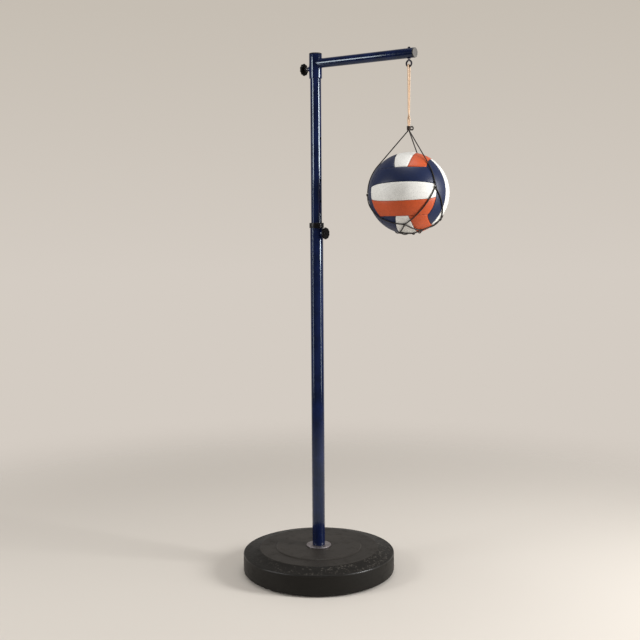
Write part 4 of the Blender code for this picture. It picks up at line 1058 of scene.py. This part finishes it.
def hand_knob(name, start, place):
    """A round hand knob with finger flutes, a dished face and rounded edges."""
    shape = bmesh.new()
    count = KNOB_FLUTES * KNOB_STEPS_PER_FLUTE
    rim = []
    for index in range(count):
        angle = FULL_TURN * index / count
        reach = KNOB_RADIUS - KNOB_FLUTE_DEPTH * (1 - math.cos(KNOB_FLUTES * angle)) / 2
        rim.append(shape.verts.new((reach * math.cos(angle), reach * math.sin(angle), start)))
    face = shape.faces.new(rim)
    grown = bmesh.ops.extrude_face_region(shape, geom=[face])
    lifted = [item for item in grown["geom"] if isinstance(item, bmesh.types.BMVert)]
    bmesh.ops.translate(shape, verts=lifted, vec=UP * KNOB_THICKNESS)
    rims = [edge for edge in shape.edges if abs(edge.verts[0].co.z - edge.verts[1].co.z) < LEVEL_WITHIN]
    soften(shape, rims, KNOB_EDGE_ROUND, KNOB_EDGE_STEPS)
    knob = finished_mesh(name, shape, place)
    top = start + KNOB_THICKNESS
    dip = KNOB_DISH_DEPTH
    dish_radius = KNOB_RADIUS - KNOB_DISH_RIM
    dish = [
        (0, top - dip),
        (dish_radius, top - dip, dip / 2),
        (dish_radius + dip, top + dip),
        (0, top + dip),
    ]
    knob = carve(knob, turned("dish", dish, TUBE_SIDES, place))
    button_radius = KNOB_HUB_RADIUS / 2
    button = [
        (0, top - 2 * dip),
        (button_radius, top - 2 * dip),
        (button_radius, top - dip / 4, dip / 2),
        (0, top - dip / 4),
    ]
    knob = carve(knob, turned("button", button, SMALL_SIDES, place), "UNION")
    foot = start - KNOB_HUB_LENGTH
    middle = start + KNOB_THICKNESS / 2
    hub = [
        (0, foot),
        (KNOB_HUB_RADIUS - TUBE_LIP, foot, TUBE_LIP),
        (KNOB_HUB_RADIUS + TUBE_LIP, middle),
        (0, middle),
    ]
    knob = carve(knob, turned("hub", hub, SMALL_SIDES, place), "UNION")
    low, high = foot - CUTTER_MARGIN, foot + KNOB_SOCKET_DEPTH
    return carve(knob, rod("socket", SCREW_RADIUS + SEAT_GAP, low, high, place=place))


def make_hand_screw(name, tube_radius, standoff, height, direction):
    place = across_mast(height, direction)
    hub_start = tube_radius + BOSS_LENGTH + standoff
    stud_start = UPPER_TUBE_RADIUS + SEAT_GAP + TIP_LENGTH + SEAT_GAP
    stud_end = hub_start + KNOB_SOCKET_DEPTH - SEAT_GAP
    piece = f"{name}_threaded_stud"
    stud = threaded_rod(piece, SCREW_RADIUS, stud_start, stud_end, THREAD_PITCH, THREAD_DEPTH, place)
    show(piece, stud, STUD_STEEL, f"{name}_handle", f"{name}_stud")
    piece = f"{name}_hand_knob"
    knob = hand_knob(piece, hub_start + KNOB_HUB_LENGTH, place)
    show(piece, knob, KNOB_PLASTIC, f"{name}_handle", f"{name}_knob")


# Arm


def make_arm():
    sleeve = pipe("swivel_sleeve", SLEEVE_RADIUS, SLIDING_BORE, SLEEVE_FOOT, SLEEVE_TOP, lip=2 * TUBE_LIP)
    sleeve = carve(sleeve, screw_hole(SLEEVE_RADIUS, UPPER_SCREW_HEIGHT, AGAINST_X))
    show("swivel_sleeve", sleeve, POWDER_COAT, "arm", "arm_sleeve")
    plug = SLIDING_BORE - SEAT_GAP
    cap_foot = SLEEVE_CAP_SEAT - SLEEVE_CAP_PLUG
    cap_top = SLEEVE_CAP_SEAT + SLEEVE_CAP_THICKNESS
    cap = [
        (0, cap_foot),
        (plug, cap_foot, TUBE_LIP),
        (plug, SLEEVE_CAP_SEAT),
        (SLEEVE_RADIUS, SLEEVE_CAP_SEAT, TUBE_LIP / 2),
        (SLEEVE_RADIUS, cap_top, SLEEVE_CAP_ROUND),
        (0, cap_top),
    ]
    mesh = turned("sleeve_lid", cap)
    show("sleeve_lid", mesh, BLACK_PLASTIC, "arm", "sleeve_cap")
    threaded_boss("upper_screw_boss", SLEEVE_RADIUS, UPPER_SCREW_HEIGHT, -1, "arm", "upper_boss")
    place = across_mast(ARM_HEIGHT, ALONG_X)
    bore = ARM_RADIUS - TUBE_WALL
    cap_seat = ARM_REACH - END_CAP_THICKNESS
    root = SLEEVE_RADIUS - CUTTER_MARGIN
    tube = pipe("swivel_arm", ARM_RADIUS, bore, root, cap_seat - SEAT_GAP, place=place)
    low = ARM_HEIGHT - ARM_RADIUS - CUTTER_MARGIN
    high = ARM_HEIGHT + ARM_RADIUS + CUTTER_MARGIN
    tube = carve(tube, rod("saddle", SLEEVE_RADIUS, low, high, TUBE_SIDES))
    hole = rod("eye_hole", EYE_SHANK_RADIUS + HOLE_GAP, low, high, place=TETHER_PLACE)
    bead = weld_bead("arm_weld", SLEEVE_RADIUS, ARM_RADIUS, ARM_HEIGHT, 1)
    mesh = join_shapes("swivel_arm", [carve(tube, hole), bead])
    show("swivel_arm", mesh, POWDER_COAT, "arm", "arm_tube")
    dish = ARM_RADIUS / 2
    end_cap = [
        (0, cap_seat - END_CAP_PLUG),
        (bore - SEAT_GAP, cap_seat - END_CAP_PLUG, TUBE_LIP),
        (bore - SEAT_GAP, cap_seat),
        (ARM_RADIUS, cap_seat, TUBE_LIP / 2),
        (ARM_RADIUS, ARM_REACH, END_CAP_ROUND),
        (dish + TUBE_LIP, ARM_REACH, TUBE_LIP),
        (dish, ARM_REACH - TUBE_LIP),
        (0, ARM_REACH - TUBE_LIP),
    ]
    mesh = turned("arm_end_plug", end_cap, place=place)
    # The rim takes the darker copy of the plastic: painted shade beside the lit end face
    for face in mesh.polygons:
        face.material_index = 0 if face.normal.x > FACING_OUT else 1
    show("arm_end_plug", mesh, [CAP_PLASTIC, CAP_PAINTED_SHADE_RIM_PLASTIC], "arm", "arm_end_cap")


def make_eye_bolt():
    """A pear-shaped eye whose threaded shank goes up through the arm to a washer and a nut."""
    centre = EYE_PIVOT_HEIGHT + EYE_LOOP_RADIUS
    shoulder = math.acos(EYE_LOOP_RADIUS / (EYE_APEX - centre))
    points = []
    for step in range(EYE_STEPS + 1):
        angle = shoulder + (FULL_TURN - 2 * shoulder) * step / EYE_STEPS
        across = EYE_LOOP_RADIUS * math.sin(angle)
        points.append(Vector((EYE_X + across, 0, centre + EYE_LOOP_RADIUS * math.cos(angle))))
    apex = Vector((EYE_X, 0, EYE_APEX))
    points.append(apex.lerp(points[-1], EYE_NECK_SHARE))
    points.append(apex.lerp(points[0], EYE_NECK_SHARE))
    loop = cord_mesh("eye_loop", points, EYE_WIRE_RADIUS, closed=True, roundness=EYE_ROUNDNESS)
    nut_foot = ARM_HEIGHT + ARM_RADIUS + SEAT_GAP
    nut_top = nut_foot + EYE_NUT_HEIGHT
    eye = carve(loop, rod("shank", EYE_SHANK_RADIUS, EYE_APEX, nut_foot, place=TETHER_PLACE), "UNION")
    low = nut_foot - SEAT_GAP
    high = nut_top + EYE_THREAD_SHOWING
    depth = EYE_THREAD_PITCH / 3
    thread = threaded_rod("thread", EYE_SHANK_RADIUS, low, high, EYE_THREAD_PITCH, depth, TETHER_PLACE)
    eye = carve(eye, thread, "UNION")
    show("eye_loop", eye, EYE_STEEL, "arm", "eye_bolt")
    corner = EYE_NUT_FLATS / math.sqrt(3)
    middle = TETHER_PLACE @ Matrix.Translation((0, 0, (nut_foot + nut_top) / 2))
    size = {"segments": 6, "radius1": corner, "radius2": corner, "depth": EYE_NUT_HEIGHT}
    shape = bmesh.new()
    bmesh.ops.create_cone(shape, cap_ends=True, matrix=middle, **size)
    soften(shape, list(shape.edges), TUBE_LIP, NUT_EDGE_STEPS)
    nut = finished_mesh("eye_lock_nut", shape)
    bore = rod("bore", EYE_SHANK_RADIUS + SEAT_GAP / 3, low, nut_top + SEAT_GAP, place=TETHER_PLACE)
    nut = carve(nut, bore)
    show("eye_lock_nut", nut, EYE_STEEL, "arm", "eye_nut")
    low = EYE_WASHER_TOP - EYE_WASHER_THICKNESS
    sizes = (EYE_WASHER_RADIUS, EYE_SHANK_RADIUS + HOLE_GAP, low, EYE_WASHER_TOP, SMALL_SIDES, TUBE_LIP / 2)
    washer = pipe("eye_flat_washer", *sizes, TETHER_PLACE)
    show("eye_flat_washer", washer, EYE_STEEL, "arm", "eye_washer")


# Ball


def edge_place(value, cells, half_size):
    """Where a grid line goes on a strip of this half size, crowding at the seams, and how deep it sinks."""
    index = round((value + 1) / 2 * cells)
    from_edge = min(index, cells - index)
    side = math.copysign(1, value)
    if from_edge == 0:
        return side, SEAM_DEPTH
    if from_edge == 1:
        return side * (1 - LIP_WIDTH / half_size), LIP_DEPTH
    inner = (index - cells / 2) / (cells / 2 - PANEL_EDGE_CELLS)
    return inner * (1 - SHOULDER_WIDTH / half_size), 0.0


def strip_place(normal, along, across, s, t):
    """The direction of a point of a face: s along the strips, t across them, each from -1 to 1."""
    mid = math.tan(math.radians(FACE_HALF_ANGLE))
    end_reach = 1 / (mid + (1 - mid) * t * t)
    long_reach = mid + (1 - mid) * s * s
    out = s * end_reach
    over = t * (long_reach + s * s * (end_reach - 1))
    return (normal + out * along + over * across).normalized()


def strip_end(side, middle_edge):
    """Where a strip ends across its face: 1 or -1 is the middle strip's edge, OUTER the face's own."""
    return side * middle_edge if abs(side) < OUTER else math.copysign(1, side)


def panel_mesh(name, normal, along, across, low, high):
    """One strip of the cover, with its edges turned down into the seams."""
    shape = bmesh.new()
    bmesh.ops.create_grid(shape, x_segments=PANEL_LENGTH_CELLS, y_segments=PANEL_WIDTH_CELLS, size=1)
    half_seam = SEAM_WIDTH / 2 / BALL_RADIUS
    trim_across = half_seam / math.tan(math.radians(FACE_HALF_ANGLE))
    for vert in shape.verts:
        s, drop_s = edge_place(vert.co.x, PANEL_LENGTH_CELLS, PANEL_HALF_LENGTH)
        w, drop_w = edge_place(vert.co.y, PANEL_WIDTH_CELLS, PANEL_HALF_WIDTH)
        s *= 1 - 2 * half_seam
        edge = MIDDLE_STRIP_AT_CENTRE + (MIDDLE_STRIP_AT_END - MIDDLE_STRIP_AT_CENTRE) * s * s
        start = strip_end(low, edge) + trim_across
        end = strip_end(high, edge) - trim_across
        t = start + (end - start) * (w + 1) / 2
        vert.co = strip_place(normal, along, across, s, t) * (BALL_RADIUS - max(drop_s, drop_w))
    if normal.dot(along.cross(across)) < 0:
        bmesh.ops.reverse_faces(shape, faces=shape.faces)
    bmesh.ops.transform(shape, matrix=BALL_PLACE, verts=shape.verts)
    panel = in_scene(name, mesh_of(name, shape))
    wall = panel.modifiers.new("wall", "SOLIDIFY")
    wall.thickness = PANEL_THICKNESS
    wall.offset = -1
    return settled_mesh(panel)


def make_ball():
    x_way, y_way, z_way = Matrix.Identity(3)
    faces = {
        "front": (-y_way, x_way, -z_way),
        "back": (y_way, x_way, -z_way),
        "top": (z_way, y_way, x_way),
        "bottom": (-z_way, y_way, x_way),
        "right": (x_way, z_way, y_way),
        "left": (-x_way, z_way, y_way),
    }
    strips = {"navy": (-OUTER, -1), "white": (-1, 1), "orange": (1, OUTER)}
    leathers = {strip: make_leather(f"ball_{strip}_cover", BALL_TONES[strip]) for strip in strips}
    low, high = BALL_RADIUS - CUTTER_MARGIN, BALL_RADIUS + CUTTER_MARGIN
    valve_hole = rod("valve_hole", VALVE_RADIUS + HOLE_GAP, low, high, place=VALVE_PLACE)
    for face, ways in faces.items():
        for strip, (start, end) in strips.items():
            name = f"cover_{face}_{strip}"
            panel = panel_mesh(name, *ways, start, end)
            if (face, strip) == ("back", "white"):
                panel = carve(panel, valve_hole)
            show(name, panel, leathers[strip], "ball", f"panel_{face}_{strip}")
    flange_foot = BALL_RADIUS - VALVE_FLANGE_DEPTH
    valve_top = BALL_RADIUS - VALVE_RECESS
    valve = [
        (0, flange_foot),
        (VALVE_FLANGE_RADIUS, flange_foot, TUBE_LIP),
        (VALVE_FLANGE_RADIUS, flange_foot + VALVE_FLANGE_THICKNESS, TUBE_LIP),
        (VALVE_RADIUS, flange_foot + VALVE_FLANGE_THICKNESS, TUBE_LIP),
        (VALVE_RADIUS, valve_top, VALVE_RADIUS / 4),
        (NEEDLE_HOLE_RADIUS * 2, valve_top),
        (NEEDLE_HOLE_RADIUS, valve_top - NEEDLE_HOLE_RADIUS / 2),
        (NEEDLE_HOLE_RADIUS, valve_top - NEEDLE_HOLE_DEPTH),
        (0, valve_top - NEEDLE_HOLE_DEPTH),
    ]
    mesh = turned("inflation_valve", valve, SMALL_SIDES, VALVE_PLACE)
    show("inflation_valve", mesh, BLADDER_RUBBER, "ball", "ball_valve")


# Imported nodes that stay, because they are inside or already have their shape


def dress_packed_nodes():
    finishes = {
        "base_core": CAST_IRON,
        "base_bolt": STUD_STEEL,
        "base_bolt_washer": PLATED,
        "foot_plug": PLATED,
        "tube_guide": BLACK_PLASTIC,
        "lower_screw_tip": BRASS,
        "upper_screw_tip": BRASS,
        "ball_bladder": BLADDER_RUBBER,
    }
    for node, finish in finishes.items():
        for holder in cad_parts[node].material_slots:
            holder.material = finish


# Stage


def make_room(flat_back):
    """A dim room in front and a pale backdrop behind, which the camera sees a little darker higher up."""
    room = bpy.data.worlds.new("studio")
    room.use_nodes = True
    bpy.context.scene.world = room
    tree = room.node_tree
    ray = add_node(tree, "TexCoord", {}).outputs["Generated"]
    to_back = add_node(tree, "VectorMath", {0: ray, 1: -flat_back}, operation="DOT_PRODUCT")
    brightness = (ROOM_IN_REFLECTIONS, BACKDROP_IN_REFLECTIONS)
    glow = graded(to_back.outputs["Value"], *BACKDROP_START, *brightness)
    paths = add_node(tree, "LightPath", {}).outputs
    strength = add_node(tree, "Mix", {0: paths["Is Glossy Ray"], 2: ROOM_LIGHT, 3: glow}).outputs[0]
    lit = tree.nodes["Background"]
    lit.inputs["Color"].default_value = linear(ROOM_TONE)
    tree.links.new(strength, lit.inputs["Strength"])
    rise = graded(ways_of(ray)[2], *BACKDROP_RISE)
    seen = add_node(tree, "Background", {"Color": colour_between(rise, BACKDROP_TONE, BACKDROP_TOP_TONE)})
    inputs = {0: paths["Is Camera Ray"], 1: lit.outputs[0], 2: seen.outputs[0]}
    chosen = add_node(tree, "MixShader", inputs)
    tree.links.new(chosen.outputs[0], tree.nodes["World Output"].inputs["Surface"])


def make_floor():
    """A pale floor that fades into the backdrop."""
    shape = bmesh.new()
    bmesh.ops.create_circle(shape, cap_ends=True, segments=TUBE_SIDES, radius=FLOOR_RADIUS)
    mesh = mesh_of("studio_floor", shape)
    finish = new_finish("floor_paper", 0.9, 0.1)
    tree = finish.node_tree
    shader_of(finish).inputs["Base Color"].default_value = linear(FLOOR_TONE)
    level = {0: place_on(finish, (1, 1, 0))}
    distance = add_node(tree, "VectorMath", level, operation="LENGTH").outputs["Value"]
    fade = graded(distance, *FLOOR_FADE, interpolation_type="SMOOTHERSTEP")
    clear = add_node(tree, "BsdfTransparent", {})
    inputs = {0: fade, 1: shader_of(finish).outputs[0], 2: clear.outputs[0]}
    mixed = add_node(tree, "MixShader", inputs)
    tree.links.new(mixed.outputs[0], tree.nodes["Material Output"].inputs["Surface"])
    mesh.materials.append(finish)
    in_scene("studio_floor", mesh)


def make_lamps(right, back):
    """Soft lamps that look level at the mast, and one overhead that looks down at its foot."""
    lamps = [
        ("overhead_softbox", Vector((0.3, -0.1, 3.1)), (1.2, 1.2), 19),
        ("right_softbox", right * 2.3 + back * 0.85 + UP * 1.45, (0.65, 0.95), 64),
        ("right_strip", right * 2.3 + back * 0.85 + UP * 0.55, (0.3, 0.9), 8),
        ("left_softbox", -right * 1.95 + back * 0.95 + UP * 1.6, (0.65, 0.7), 18),
        ("left_strip", -right * 2.35 + back * 0.63 + UP * 0.7, (0.25, 1.2), 7),
    ]
    for name, place, (width, height), power in lamps:
        light = bpy.data.lights.new(name, "AREA")
        light.shape = "RECTANGLE"
        light.size = width
        light.size_y = height
        light.energy = power
        lamp = in_scene(name, light)
        lamp.location = place
        aim_height = 0 if name.startswith("overhead") else place.z - LAMP_AIM_DROP
        way = Vector((LAMP_AIM_X, 0, aim_height)) - place
        lamp.rotation_euler = way.to_track_quat("-Z", "Y").to_euler()


flat_right, flat_back = set_camera()
bpy.context.scene.view_settings.view_transform = "Standard"

POWDER_COAT = make_powder_coat()
BASE_RUBBER = make_base_rubber("base_rubber_smooth", False)
BAND_RUBBER = make_base_rubber("base_rubber_grained", True)
CAST_IRON, PLATED, EYE_STEEL, STUD_STEEL, BRASS = [make_metal(*look) for look in METALS]
plastics = [make_plastic(*look) for look in PLASTICS]
BLACK_PLASTIC, KNOB_PLASTIC, CAP_PLASTIC, CAP_PAINTED_SHADE_RIM_PLASTIC, CLAMP_PLASTIC, BLADDER_RUBBER = plastics
ELASTIC, NET_CORD = [make_cord(*look) for look in CORDS]

elastic_bight()
elastic_strand("elastic_strand_a", 0, "tether_strand_a")
elastic_strand("elastic_strand_b", math.pi, "tether_strand_b")
make_clamp()
make_net()
make_base()
make_lower_mast()
make_upper_mast()
make_hand_screw("lower", LOWER_TUBE_RADIUS, LOWER_KNOB_STANDOFF, LOWER_SCREW_HEIGHT, ALONG_X)
make_hand_screw("upper", SLEEVE_RADIUS, UPPER_KNOB_STANDOFF, UPPER_SCREW_HEIGHT, AGAINST_X)
make_arm()
make_eye_bolt()
make_ball()
dress_packed_nodes()
make_floor()
make_room(flat_back)
make_lamps(flat_right, flat_back)
